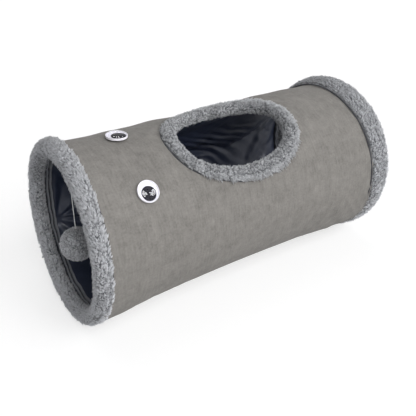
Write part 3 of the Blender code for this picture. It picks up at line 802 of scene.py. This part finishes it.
def hang(along, angle):
    """How far the slack sleeve lies outside its even bow: lower below, drawn in above."""
    up = np.cos(angle + ROLL)
    below, above = smooth_step(-0.1, -0.65, up), smooth_step(0.3, 0.9, up)
    low = 0.0018 + 0.0026 * smooth_step(0.100, 0.035, along) + 0.0022 * smooth_step(0.430, 0.520, along)
    high = -0.0022 * smooth_step(0.150, 0.095, along) - 0.0016 * smooth_step(0.440, 0.530, along)
    over = sum(height * bump(along, place, width) for place, width, height in FAR_TOP_SWELLS)
    beyond = smooth_step(math.radians(-25), math.radians(-48), angle)
    sunk = far_border(angle)[0] * smooth_step(0.495, 0.546, along)
    return low * below + high * above + over * above * beyond - sunk


def puckers(along, angle):
    """The gathers where the sleeve is sewn to the rims and the trim, and the low ridge round the trim."""
    wave = np.sin(angle * 37 + 2.0 * np.sin(angle * 5)) * 0.5 + np.sin(angle * 61 + 1.3) * 0.3
    to_near, to_far = along - NEAR_BANDS[0], TUNNEL_LENGTH - FAR_BANDS[0] - along
    ends = np.exp(-np.maximum(to_near, 0) / 0.014) + np.exp(-np.maximum(to_far, 0) / 0.016)
    away, around, turn = hole_place(along, angle)
    beyond = np.hypot(away / HOLE_LENGTH, around / HOLE_WIDTH) * 2 - 1
    gap = beyond * HOLE_WIDTH / 2 - TRIM_WIDTH - TRIM_SHIFT
    gathers = np.sin(turn * 23 + 1.5 * np.sin(turn * 3)) * 0.0005 * np.exp(-np.abs(gap) / 0.012)
    return 0.0007 * wave * ends + gathers + 0.0012 * bump(gap, 0.006, 0.005)


def drag_folds(along, angle):
    """Soft slanting folds in the slack sleeve, most of them near its two ends."""
    arc = angle * SLEEVE_RADIUS
    near = smooth_step(0.24, 0.05, along) * smooth_step(math.radians(20), math.radians(80), angle)
    far = smooth_step(0.36, 0.50, along) * smooth_step(math.radians(-60), math.radians(-10), angle)
    made = 0
    for share, slant, seed in ((far, math.radians(38), 31), (near, math.radians(-35), 32)):
        across = along * math.cos(slant) - arc * math.sin(slant)
        down = along * math.sin(slant) + arc * math.cos(slant)
        place = np.stack((across / 0.026, down / 0.15, across * 0 + seed), axis=-1)
        made = made + share * (1 - 2 * np.abs(noise_at(place, 1.0, seed)) ** 0.8) * 0.0013
    return made


def sleeve_face(along, angle):
    """The radius of the sleeve's face, with its sag, folds and puckers."""
    base = sleeve_radius(along)
    place = tunnel_points(along, base, angle)
    rolling = noise_at(place, 0.09, 5) * 0.0006 + noise_at(place, 0.03, 6) * 0.0002
    return base + hang(along, angle) + rolling + puckers(along, angle) + drag_folds(along, angle)


# The near hem: how far under the sleeve's face it lies, and how far it reaches at least past the askew
# edge of the near rim
HEM_UNDER = 0.0006
HEM_OVERLAP = 0.0010
HEM_GRID = (12, 480)


def build_near_hem(materials):
    """The sleeve's own edge, just under its face, at the askew near rim."""
    rows, columns = HEM_GRID
    angle = np.linspace(-math.pi, math.pi, columns, endpoint=False)[None, :]
    share = np.linspace(0, 1, rows)[:, None]
    border = tunnel_points(NEAR_BANDS[0], SLEEVE_RADIUS, angle)[..., 0] + TUNNEL_LENGTH / 2
    end = NEAR_BANDS[0] + np.maximum(NEAR_BANDS[0] + HEM_OVERLAP - border, 0)
    along = LAYER_START + (end - LAYER_START) * share
    angle = np.broadcast_to(angle, along.shape)
    points = tunnel_points(along, sleeve_face(along, angle) - HEM_UNDER, angle)
    keep_off_floor(points, HEM_UNDER + OFF_FLOOR)
    mesh = grid_mesh("near_hem", points, False, True, uv_steps=(0.0015, math.tau * SLEEVE_RADIUS / columns))
    add_piece("near_hem", mesh, materials["suede"], "near_end")


def build_lining(materials):
    along, angle = layer_grid(*LINING_GRID)
    depth = finer(soften(slack_depth(along, angle, sleeve_radius(along) - LINING_DEPTH)))
    grid = depth.shape
    along, angle = layer_grid(*grid)
    depth = depth + mouth_folds(along, angle) + wall_folds(along, angle)
    depth = clear_of_ball(depth, along, angle)

    def inside(along, angle):
        return sleeve_radius(along) - LINING_DEPTH - depth

    cloth_layer("lining_cloth", grid, inside, materials["nylon"], "inner_lining")


def build_layers(materials):
    cloth_layer("sleeve_cloth", SLEEVE_GRID, sleeve_face, materials["suede"], "outer_sleeve")
    build_near_hem(materials)
    build_lining(materials)


# The lining's cloth: its settings in the simulation
CLOTH_SETTINGS = {
    "quality": 6, "mass": 0.06, "tension_stiffness": 12, "compression_stiffness": 12, "shear_stiffness": 4,
    "bending_stiffness": 0.08, "air_damping": 3, "vertex_group_mass": "held",
    "shrink_min": -LINING_SLACK, "shrink_max": -LINING_SLACK,
}


def slack_depth(along, angle, radius):
    """How far inside its own line the lining hangs: a cloth cut oversize, sewn at its edges and tacked."""
    generator = np.random.default_rng(SEED)
    points = tunnel_points(along, radius - 0.0015 * generator.uniform(0, 1, along.shape), angle)
    sewn = (along < SEWN_NEAR) | (along > SEWN_FAR)
    sewn = sewn | inside_hole(along, angle, SEWN_ROUND_HOLE)
    coil_along, coil_angle = coil_route()
    tacks = np.flatnonzero((coil_along > 0.05) & (coil_along < TUNNEL_LENGTH - 0.05))[4::11]
    places = [(coil_along[tack], (coil_angle[tack] + math.pi) % math.tau - math.pi) for tack in tacks]
    for tack_along, tack_angle in (*places, MOUTH_TACK):
        gap = np.hypot(along - tack_along, (angle - tack_angle) * SLEEVE_RADIUS)
        sewn = sewn | (gap < TACK_RADIUS)
    cloth = add_object("lining_draft", grid_mesh("lining_draft", points, False, True))
    held = cloth.vertex_groups.new(name="held")
    held.add(np.flatnonzero(sewn.ravel()).tolist(), 1.0, "REPLACE")
    modifier = cloth.modifiers.new("slack", "CLOTH")
    for key, value in CLOTH_SETTINGS.items():
        setattr(modifier.settings, key, value)
    modifier.settings.effector_weights.gravity = CLOTH_GRAVITY
    modifier.collision_settings.use_collision = False
    for step in range(1, CLOTH_FRAMES + 1):
        bpy.context.scene.frame_set(step)
    shape = cloth.evaluated_get(bpy.context.evaluated_depsgraph_get()).to_mesh()
    places = np.empty(len(shape.vertices) * 3, np.float32)
    shape.vertices.foreach_get("co", places)
    places = places.reshape(*along.shape, 3).astype(float)
    bpy.context.scene.frame_set(1)
    bpy.data.objects.remove(cloth)
    hung = np.hypot(places[..., 1], places[..., 2] - AXIS_HEIGHT)
    depth = radius - hung
    free = smooth_step(0.032, 0.046, along) * smooth_step(TUNNEL_LENGTH - 0.040, TUNNEL_LENGTH - 0.065, along)
    depth = np.where(depth > 0, depth, -depth * OUTWARD_SHARE)
    return LINING_LIMIT * np.tanh(depth / LINING_LIMIT) * (0.15 + 0.85 * free)


def soften(grid):
    """The same grid with its smallest wrinkles evened out."""
    around = (np.roll(grid, 1, 1) + 2 * grid + np.roll(grid, -1, 1)) / 4
    inner = (around[:-2] + 2 * around[1:-1] + around[2:]) / 4
    return np.concatenate((around[:1], inner, around[-1:]))


def mouth_folds(along, angle):
    """The broad flat folds that spread from the tack inside the near mouth."""
    ahead, aside = along - MOUTH_TACK[0] + 0.006, (angle - MOUTH_TACK[1]) * SLEEVE_RADIUS
    away, heading = np.hypot(ahead, aside), np.arctan2(aside, ahead)
    warped = heading / math.radians(40) + 0.20 * np.sin(heading * 3.1) + 0.35
    pleat = 1 - 4 * np.abs(warped - np.floor(warped) - 0.5)
    swell = smooth_step(0.004, 0.032, away) * smooth_step(0.105, 0.045, away)
    return 0.0052 * (0.75 + pleat) * swell * smooth_step(0.036, 0.050, along)


def wall_folds(along, angle):
    """Long folds that run slantwise on the wall that shows through the peek hole."""
    arc = (angle - math.radians(-105)) * SLEEVE_RADIUS
    place = np.stack(np.broadcast_arrays(along / 0.09, arc / 0.05, 0 * arc), axis=-1)
    across = arc * math.cos(0.55) + (along - 0.33) * math.sin(0.55)
    warped = across / 0.021 + 0.9 * noise_at(place, 1.0, 41)
    pleat = 1 - 4 * np.abs(warped - np.floor(warped) - 0.5)
    shown = bump(along, 0.350, 0.085) * bump(arc, 0.0, 0.062)
    return 0.0034 * (0.6 + pleat) * shown


def clear_of_ball(depth, along, angle):
    """Holds the lining back where the ball comes nearest to it when it swings inwards and aside."""
    gap = np.hypot(along - BALL_REACHES[0], (angle - BALL_REACHES[1]) * SLEEVE_RADIUS)
    limit = np.minimum(0.0040 + 13 * gap ** 2, 0.045)
    return limit * np.tanh(depth / limit)


def finer(grid):
    """The same grid with twice as many rows and columns, its columns closing into a ring."""
    closed = np.concatenate((grid[:, -2:], grid, grid[:, :3]), axis=1)
    between = (9 * (closed[:, 2:-3] + closed[:, 3:-2]) - closed[:, 1:-4] - closed[:, 4:-1]) / 16
    wide = np.stack((grid, between), axis=-1).reshape(grid.shape[0], -1)
    tall = np.empty((wide.shape[0] * 2 - 1, wide.shape[1]))
    tall[::2] = wide
    padded = np.concatenate((wide[:1], wide, wide[-1:]))
    tall[1::2] = (9 * (padded[1:-2] + padded[2:-1]) - padded[:-3] - padded[3:]) / 16
    return tall


def build_stitching_and_shade(materials):
    """Dark cords along the sewn edges where the rims and the trim meet the sleeve: stitching, made dark as
    painted shade in the creases there.
    """
    angles = full_turn(720)
    shown = smooth_step(math.radians(5), math.radians(40), (angles + math.pi) % math.tau - math.pi)
    along = NEAR_BANDS[0] - 0.0008
    near = tunnel_points(along, sleeve_radius(along) - (0.0012 - 0.0020 * shown), angles)
    lower, nearer = far_border(angles)
    along = TUNNEL_LENGTH - FAR_BANDS[0] - 0.0008 - nearer
    far = tunnel_points(along, sleeve_radius(along) - (lower - 0.0010), angles)
    trim = hole_points(angles, np.full(angles.shape, TRIM_WIDTH - 0.0012), np.full(angles.shape, 0.0006))
    rows = (
        ("near", near, 0.0008, "near_end"),
        ("far", far, 0.0011, "far_end"),
        ("trim", trim, 0.0008, "near_end"),
    )
    for edge, line, radius, body in rows:
        name = f"{edge}_stitching_and_shade"
        mesh = tube_mesh(name, line, radius, 8, closed=True)
        piece = add_piece(name, mesh, materials["tape"], body)
        if edge == "trim":
            fold_up(piece)


# The section of the two ribs of a seam: (depth from the mouth, height over the lining)
SEAM_SECTION = (
    (0.0280, 0.0010), (0.0308, 0.0012), (0.0314, 0.0056), (0.0326, 0.0070), (0.0338, 0.0056),
    (0.0346, 0.0008), (0.0366, 0.0006), (0.0374, 0.0048), (0.0388, 0.0068), (0.0402, 0.0056),
    (0.0414, 0.0014), (0.0424, -0.0004), (0.0350, -0.0006), (0.0285, -0.0004),
)
NEAR_SEAM_SHIFT = 0.0035


def build_seam(side, materials):
    """The bound seam allowance inside a mouth: two raised, slightly wavy ribs of cloth beside the rim."""
    angles = full_turn(480)[:, None]
    depth, height = (column[None, :] for column in np.array(SEAM_SECTION).T)
    if side == "near":
        depth = depth - NEAR_SEAM_SHIFT
    place = tunnel_points(depth, SLEEVE_RADIUS - LINING_DEPTH, angles)
    ripple = noise_at(place, 0.026, 21) * 0.0018 + noise_at(place, 0.008, 22) * 0.0007
    crest = 1 + 0.5 * noise_at(place, 0.014, 23)
    along = depth + ripple
    if side == "far":
        along = TUNNEL_LENGTH - along
    radius = SLEEVE_RADIUS - LINING_DEPTH - height * np.where(height > 0, crest, 1)
    points = tunnel_points(along, radius, angles)
    # Painted shade: the binding is dark in the grooves beside and between the ribs, by this share
    ridge = np.broadcast_to(smooth_step(0.0020, 0.0062, height), points.shape[:2])
    name = f"{side}_seam"
    mesh = grid_mesh(name, points, True, True, uv_steps=(0.0019, 0.0015), attributes={"tip": ridge})
    add_piece(name, mesh, materials["binding"], f"{side}_end")


# Coil and tape between the layers

COIL_PITCH = 0.262
COIL_EASE = 0.030
COIL_RUN_OUT = math.radians(30)
COIL_WIRE = 0.0025
HOOP_WIRE = 0.0028
TAPE_WIDTH = 0.016
TAPE_ENDS = 0.045
# The tape's section over the wire: (share of half its width, millimetres inside the sleeve's even bow)
TAPE_SECTION = (
    (-1, 2.55), (-0.45, 2.7), (-0.18, 5.4), (0.18, 5.4), (0.45, 2.7), (1, 2.55),
    (1, 3.0), (0.5, 3.2), (0.2, 5.9), (-0.2, 5.9), (-0.5, 3.2), (-1, 3.0),
)


def coil_route(steps_per_turn=64):
    """(along, angle) of the coil: a helix that runs out flat beside each hoop."""
    start = HOOP_INSET + HOOP_WIRE / 2 + CLEARANCE + COIL_WIRE / 2
    end = TUNNEL_LENGTH - start
    run_out = COIL_EASE + COIL_PITCH * COIL_RUN_OUT / math.tau
    first, last = start - run_out, end + run_out
    steady = np.linspace(first, last, int((last - first) / COIL_PITCH * steps_per_turn))
    angle = math.pi + math.tau * (steady - HOLE_FROM_MOUTH) / COIL_PITCH
    rise_in = np.maximum(steady - (start - COIL_EASE), 0)
    rise_out = np.maximum(end + COIL_EASE - steady, 0)
    along = np.where(steady < start + COIL_EASE, start + rise_in ** 2 / (4 * COIL_EASE), steady)
    along = np.where(steady > end - COIL_EASE, end - rise_out ** 2 / (4 * COIL_EASE), along)
    return along, angle


def tube_mesh(name, points, radii, sides=12, closed=False):
    """A round tube along points, with flat ends unless it is closed into a loop."""
    points = np.asarray(points, float)
    if closed:
        heading = np.roll(points, -1, 0) - np.roll(points, 1, 0)
    else:
        heading = np.gradient(points, axis=0)
    heading /= np.linalg.norm(heading, axis=1, keepdims=True)
    side = np.cross(heading[0], (0, 0, 1) if abs(heading[0][2]) < 0.9 else (1, 0, 0))
    frames = []
    for direction in heading:
        side = side - direction * (side @ direction)
        side = side / np.linalg.norm(side)
        frames.append((side, np.cross(direction, side)))
    first, second = np.array([pair[0] for pair in frames]), np.array([pair[1] for pair in frames])
    radii = np.broadcast_to(radii, len(points))[:, None, None]
    turns = full_turn(sides)[None, :, None]
    rings = points[:, None] + (first[:, None] * np.cos(turns) + second[:, None] * np.sin(turns)) * radii
    mesh = grid_mesh(name, rings, closed, True)
    if not closed:
        close_ends(mesh, sides, len(points))
    return mesh


def close_ends(mesh, sides, count):
    """Closes the first and the last ring of a tube with a flat face each."""
    def close(work):
        work.faces.new([work.verts[index] for index in range(sides)])
        work.faces.new([work.verts[(count - 1) * sides + index] for index in reversed(range(sides))])
        bmesh.ops.recalc_face_normals(work, faces=work.faces)

    edit_mesh(mesh, close)


def build_coil(materials):
    along, angle = coil_route()
    points = tunnel_points(along, sleeve_radius(along) - COIL_DEPTH, angle)
    wire = add_piece("coil_wire", tube_mesh("coil_wire", points, COIL_WIRE / 2, 10), materials["steel"],
                     "near_end", ["spring_coil"])
    fold_up(wire)
    kept = (along > TAPE_ENDS) & (along < TUNNEL_LENGTH - TAPE_ENDS)
    along, angle = along[kept], angle[kept]
    across, under = np.array(TAPE_SECTION).T
    stations = along[:, None] + across[None, :] * TAPE_WIDTH / 2
    points = tunnel_points(stations, sleeve_radius(stations) - under[None, :] / 1000, angle[:, None])
    tape = add_piece("coil_tape", grid_mesh("coil_tape", points, False, True), materials["tape"],
                     "near_end", ["spring_casing"])
    fold_up(tape)


# Eyes

EYE_ANGLE = math.radians(24)
LOWER_EYE_ALONG = 0.0966
UPPER_EYE_ALONG = 0.1055
EYE_RADIUS = 0.0171
EYE_FLOOR = 0.0012
EYE_LIP_WIDTH = 0.0008
EYE_LIP_HEIGHT = 0.0036
DOME_WALL = 0.0007
DOME_SIDE = 0.0018
DOME_HEIGHT = 0.0067
PUPIL_RADIUS = 0.0115
PUPIL_THICKNESS = 0.001
STEM_RADIUS = 0.002
STEM_END = 0.00427
EYE_SIDES = 64


def turned_mesh(name, profile):
    """A mesh turned about +Z from (radius, height) points that run from axis to axis."""
    profile = np.array(profile)
    turns = full_turn(EYE_SIDES)
    ring = np.stack((np.cos(turns), np.sin(turns)), axis=-1)
    heights = np.repeat(profile[:, None, 1:], EYE_SIDES, 1)
    points = np.concatenate((profile[:, None, :1] * ring[None], heights), axis=2)
    mesh = grid_mesh(name, points, False, True)

    def weld(work):
        bmesh.ops.remove_doubles(work, verts=work.verts, dist=1e-7)
        bmesh.ops.recalc_face_normals(work, faces=work.faces)

    edit_mesh(mesh, weld)
    mesh.shade_smooth()
    return mesh


def rounded(profile, radius, steps=4):
    """The profile with each inner corner rounded off by short arcs."""
    points = [Vector(point) for point in profile]
    made = [points[0]]
    for before, corner, after in zip(points, points[1:], points[2:]):
        into, out = before - corner, after - corner
        reach = min(radius, into.length * 0.45, out.length * 0.45)
        first, last = corner + into.normalized() * reach, corner + out.normalized() * reach
        for step in range(steps + 1):
            share = step / steps
            made.append(first.lerp(corner, share).lerp(corner.lerp(last, share), share))
    made.append(points[-1])
    return [tuple(point) for point in made]


def eye_matrix(from_mouth, angle):
    """The frame of an eye: origin on the sleeve, +Z square to it, +Y towards the far mouth."""
    along = np.array((from_mouth, from_mouth + 0.004))
    origin, ahead = (Vector(p) for p in tunnel_points(along, sleeve_radius(along), angle))
    outwards = Vector(tunnel_points(0.0, 1.0, angle)) - Vector(tunnel_points(0.0, 0.0, angle))
    forward = (ahead - origin).normalized()
    around = forward.cross(outwards).normalized()
    axes = Matrix((around, forward, around.cross(forward))).transposed()
    return Matrix.Translation(origin) @ axes.to_4x4()


def build_eye(side, from_mouth, angle, materials):
    matrix = eye_matrix(from_mouth, angle)
    base = CLEARANCE
    lip = base + EYE_LIP_HEIGHT
    bowl = EYE_RADIUS - EYE_LIP_WIDTH
    stem = [(0, -STEM_END), (STEM_RADIUS, -STEM_END), (STEM_RADIUS, base)]
    floor = base + EYE_FLOOR
    dish = [*stem, (EYE_RADIUS, base), (EYE_RADIUS, lip), (bowl, lip), (bowl, floor), (0, floor)]
    inner = bowl - CLEARANCE - DOME_WALL
    foot = floor + 0.0002
    rise = np.linspace(0, math.pi / 2, 17)

    def cap(radius, height):
        side_top = foot + DOME_SIDE
        return [(radius, foot), *((radius * math.cos(t), side_top + height * math.sin(t)) for t in rise)]

    inside = cap(inner, DOME_HEIGHT - DOME_SIDE - DOME_WALL)
    outside = cap(inner + DOME_WALL, DOME_HEIGHT - DOME_SIDE)
    top = foot + PUPIL_THICKNESS
    disc = [(0, foot), (PUPIL_RADIUS, foot), (PUPIL_RADIUS, top), (0, top)]
    down = matrix.to_3x3().inverted() @ Vector((0, 0, -1))
    low = Vector((down.x, down.y, 0)).normalized() * (inner - PUPIL_RADIUS - CLEARANCE)
    pieces = (
        ("dish", rounded(dish, 0.0005), "white", "back", "eye", (0, 0, 0)),
        ("lens", [*reversed(inside), *outside], "clear", "dome", "eye", (0, 0, 0)),
        ("disc", rounded(disc, 0.0003), "black", "pupil", "pupil", low),
    )
    for part, profile, colour, node, body, shift in pieces:
        name = f"{side}_eye_{part}"
        mesh = turned_mesh(name, profile)
        mesh.transform(matrix @ Matrix.Translation(shift))
        add_piece(name, mesh, materials[colour], f"{side}_{body}", [f"{side}_eye_{node}"])


# Ball and string

BALL_RADIUS = 0.0275
STRING_DIAMETER = 0.0014
KNOT_DIAMETER = 0.004
BALL_GRID = (72, 144)
BALL_FIBRES = 12000
BALL_PILE_LENGTH = 0.0036
BALL_PILE_THICKNESS = 0.00042
BALL_TUFT_SPACING = 0.0028
BALL_FLEECE_INSET = 0.0016


def centre_of(node):
    low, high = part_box(node)
    return (low + high) / 2


def knot_loop(centre, size, steps=72):
    """The middle line of a small overhand knot."""
    turn = full_turn(steps)
    x = np.sin(turn) + 2 * np.sin(2 * turn)
    y = np.cos(turn) - 2 * np.cos(2 * turn)
    z = -np.sin(3 * turn)
    return np.stack((x, z * 1.3, y), axis=-1) * size / 6 + np.array(centre)


def build_ball(materials):
    centre = centre_of("ball_core")
    rows, columns = BALL_GRID
    lift = np.linspace(-math.pi / 2 + 0.02, math.pi / 2 - 0.06, rows)[:, None]
    turn = full_turn(columns)[None, :]
    lift, turn = np.broadcast_arrays(lift, turn)
    normals = np.stack((np.cos(lift) * np.cos(turn), np.cos(lift) * np.sin(turn), np.sin(lift)), axis=-1)
    points = normals * (BALL_RADIUS - BALL_FLEECE_INSET) + np.array(centre)
    weights = np.ones(points.shape[:2])
    raised, height = fleece(points, normals, weights, 0.0008, seed=4)
    # Painted shade: the ball's fleece body is darker in the valleys between its curls, by their height
    attributes = {"tip": height * 0.5, "tone": height * 0.5}
    mesh = grid_mesh("ball_fleece", raised, False, True, attributes=attributes)
    close_ends(mesh, columns, rows)
    base = add_piece("ball_fleece", mesh, materials["ball_plush_painted_light"], "ball", ["ball_cover"])
    generator = np.random.default_rng(SEED + 4)
    weights = weights * (np.arange(rows)[:, None] < rows - 1)
    roots, out = pick_points(raised, normals, weights, BALL_FIBRES, generator)
    fibres = pile_mesh("ball_pile", roots, out, generator, BALL_PILE_LENGTH, BALL_PILE_THICKNESS,
                       BALL_TUFT_SPACING, (0.2, 0.0), gather=0.5)
    add_piece("ball_pile", fibres, materials["ball_plush_painted_light"], "ball")


def build_string(materials):
    top, bottom = centre_of("string_knot"), centre_of("ball_knot")
    high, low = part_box("ball_string")[1].z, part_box("ball_string")[0].z
    heights = np.linspace(high, low, 60)
    line = np.stack((np.full_like(heights, top.x), np.full_like(heights, top.y), heights), axis=-1)
    rows = (("top_knot", top, "string_top", "string_knot"), ("bottom_knot", bottom, "ball", "ball_knot"))
    for name, place, body, node in rows:
        route = knot_loop(place, KNOT_DIAMETER * 0.8)
        loop = tube_mesh(name, route, STRING_DIAMETER * 0.42, 8, closed=True)
        add_piece(name, loop, materials["cord"], body, [node])
    mesh = tube_mesh("ball_cord", line, STRING_DIAMETER / 2, 10)
    string = add_piece("ball_cord", mesh, materials["cord"], "ball", ["ball_string"])


def dress_hidden_nodes(materials):
    """The CAD nodes whose own shapes stay."""
    kept = {
        "near_hoop": "steel", "far_hoop": "steel",
        "near_hoop_ferrule": "ferrule", "far_hoop_ferrule": "ferrule",
        "lower_eye_washer": "white", "upper_eye_washer": "white",
        "ball_core": "stuffing", "string_tab": "tape",
    }
    for node, material in kept.items():
        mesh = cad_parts[node].data
        mesh.materials.clear()
        mesh.materials.append(materials[material])


# Stage

AMBIENT_LEVEL = 0.27
FLOOR_SEEN = 0.42
FLOOR_GLOW = 0.625
SOFTBOX_AIM = (-0.15, -0.1, 0.2)
SOFTBOX_DISTANCE = 1.7
SOFTBOX_RADIANCE = 18.0
SOFTBOX_ANGLE = math.radians(50)
SOFTBOXES = (
    ("right_softbox", (43.3, 31), (0.75, 0.52), -8, (36, 28), 1.22),
    ("left_softbox", (-9.6, 41), (1.10, 0.66), 38, (-4, 36), 2.25),
    ("top_softbox", (170, 78), (0.9, 0.6), 0, (170, 64), 0.45),
)


def build_stage():
    build_world()
    build_floor()
    for softbox in SOFTBOXES:
        add_softbox(*softbox)


def build_world():
    """White where the camera or a mirror sees it, and a plain soft light elsewhere."""
    world = bpy.data.worlds.new("studio")
    bpy.context.scene.world = world
    world.use_nodes = True
    tree = world.node_tree
    path = add_node(tree, "ShaderNodeLightPath")
    seen = maths(tree, "MAXIMUM", path.outputs["Is Camera Ray"], path.outputs["Is Glossy Ray"])
    seen = maths(tree, "MAXIMUM", seen, path.outputs["Is Transmission Ray"])
    level = (AMBIENT_LEVEL, AMBIENT_LEVEL, AMBIENT_LEVEL * 1.02)
    colour = blend_colours(tree, seen, level, (1.0, 1.0, 1.0))
    tree.links.new(colour, tree.nodes["Background"].inputs["Color"])


def build_floor():
    """A pale floor that looks white, with the object's soft shadow on it."""
    mesh = bpy.data.meshes.new("floor")
    reach = 9.0
    corners = [(-reach, -reach, 0), (reach, -reach, 0), (reach, reach, 0), (-reach, reach, 0)]
    mesh.from_pydata(corners, [], [(0, 1, 2, 3)])
    floor = add_object("floor", mesh)
    floor.location.z = -0.0002
    white = (0.8, 0.8, 0.8, 1)
    made, tree, shader = new_material("pale_floor", 0.9, Base_Color=white, Specular_IOR_Level=0.1)
    seen_diffuse = add_node(tree, "ShaderNodeBsdfDiffuse", {"Color": (FLOOR_SEEN,) * 3 + (1,)}).outputs[0]
    glow = add_node(tree, "ShaderNodeEmission", {"Color": (1, 1, 1, 1), "Strength": FLOOR_GLOW}).outputs[0]
    seen = add_node(tree, "ShaderNodeAddShader", {0: seen_diffuse, 1: glow}).outputs[0]
    camera = add_node(tree, "ShaderNodeLightPath").outputs["Is Camera Ray"]
    total = add_node(tree, "ShaderNodeMixShader", {0: camera, 1: shader.outputs[0], 2: seen}).outputs[0]
    tree.links.new(total, tree.nodes["Material Output"].inputs["Surface"])
    mesh.materials.append(made)


def add_softbox(name, seen_from, size, roll, shines_from, power):
    """A softbox: a lit rectangle for what the eyes mirror, and an even soft lamp for the light that it sheds.

    Each has its own azimuth and elevation. Azimuth 0 is over the -Y side, and positive is towards +X.
    """
    shed = bpy.data.lights.new(f"{name}_light", "SUN")
    shed.energy = power
    shed.angle = SOFTBOX_ANGLE
    face = bpy.data.lights.new(f"{name}_face", "AREA")
    face.shape = "RECTANGLE"
    face.size, face.size_y = size
    face.energy = SOFTBOX_RADIANCE * math.pi * size[0] * size[1]
    for data, (azimuth, elevation) in ((shed, shines_from), (face, seen_from)):
        lift, swing = math.radians(elevation), math.radians(azimuth)
        flat = math.cos(lift)
        heading = Vector((math.sin(swing) * flat, -math.cos(swing) * flat, math.sin(lift)))
        turn = heading.to_track_quat("Z", "Y") @ Quaternion((0, 0, 1), math.radians(roll))
        lamp = add_object(data.name, data)
        lamp.location = Vector(SOFTBOX_AIM) + heading * SOFTBOX_DISTANCE
        lamp.rotation_euler = turn.to_euler()
        lamp.visible_diffuse = data is shed
        lamp.visible_glossy = data is face


def build_camera():
    data = bpy.data.cameras.new("photo_camera")
    data.sensor_width = SENSOR_WIDTH
    data.lens = FOCAL_PIXELS * SENSOR_WIDTH / PHOTO_PIXELS
    camera = add_object("photo_camera", data)
    camera.location = CAMERA_PLACE
    camera.rotation_euler = (math.pi / 2 - PHOTO_ELEVATION, 0, PHOTO_AZIMUTH)
    bpy.context.scene.camera = camera


def build():
    materials = {
        "suede": suede(),
        "nylon": crinkle_nylon(),
        # Painted shade: the dark root colour stands for the shade deep in the pile and between the curls
        "plush": plush("plush", (0.100, 0.105, 0.113), (0.70, 0.71, 0.74)),
        # Painted shade: the trim's plush is a darker copy of the rims' plush
        "trim_plush_painted_shade": plush("trim_plush_painted_shade", (0.085, 0.088, 0.094), (0.53, 0.54, 0.56)),
        # Painted light: the ball's plush is a lighter copy of the rims' plush, as the ball hangs in shade
        "ball_plush_painted_light": plush("ball_plush_painted_light", (0.125, 0.130, 0.140), (0.86, 0.87, 0.90)),
        "tape": woven_tape(),
        "binding": seam_binding(),
        "steel": drawn_steel("spring_steel", (0.56, 0.56, 0.58), 0.3),
        "ferrule": drawn_steel("ferrule_metal", (0.62, 0.62, 0.64), 0.4),
        "white": moulded_plastic("eye_white", (0.78, 0.76, 0.82), (0.84, 0.83, 0.88), 0.28),
        "black": moulded_plastic("eye_black", (0.008, 0.008, 0.012), (0.016, 0.015, 0.022), 0.45, 0.02),
        "clear": clear_plastic(),
        "cord": fibrous("cord_yarn", 0.8, 0.2, 1800, {"detail": 3}, (0.80, 0.80, 0.80), (0.95, 0.95, 0.94),
                        (0.0002, 0.6)),
        "stuffing": fibrous("wadding", 1.0, 0.4, 250, {"detail": 5, "distortion": 1.5}, (0.55, 0.55, 0.53),
                            (0.85, 0.85, 0.83), (0.001, 0.8)),
    }
    build_camera()
    build_stage()
    build_layers(materials)
    build_coil(materials)
    build_rim("near", materials)
    build_rim("far", materials)
    build_trim(materials)
    build_stitching_and_shade(materials)
    build_seam("near", materials)
    build_seam("far", materials)
    build_eye("lower", LOWER_EYE_ALONG, EYE_ANGLE, materials)
    build_eye("upper", UPPER_EYE_ALONG, -EYE_ANGLE, materials)
    build_ball(materials)
    build_string(materials)
    dress_hidden_nodes(materials)
    bpy.context.scene.view_settings.view_transform = "Standard"


build()
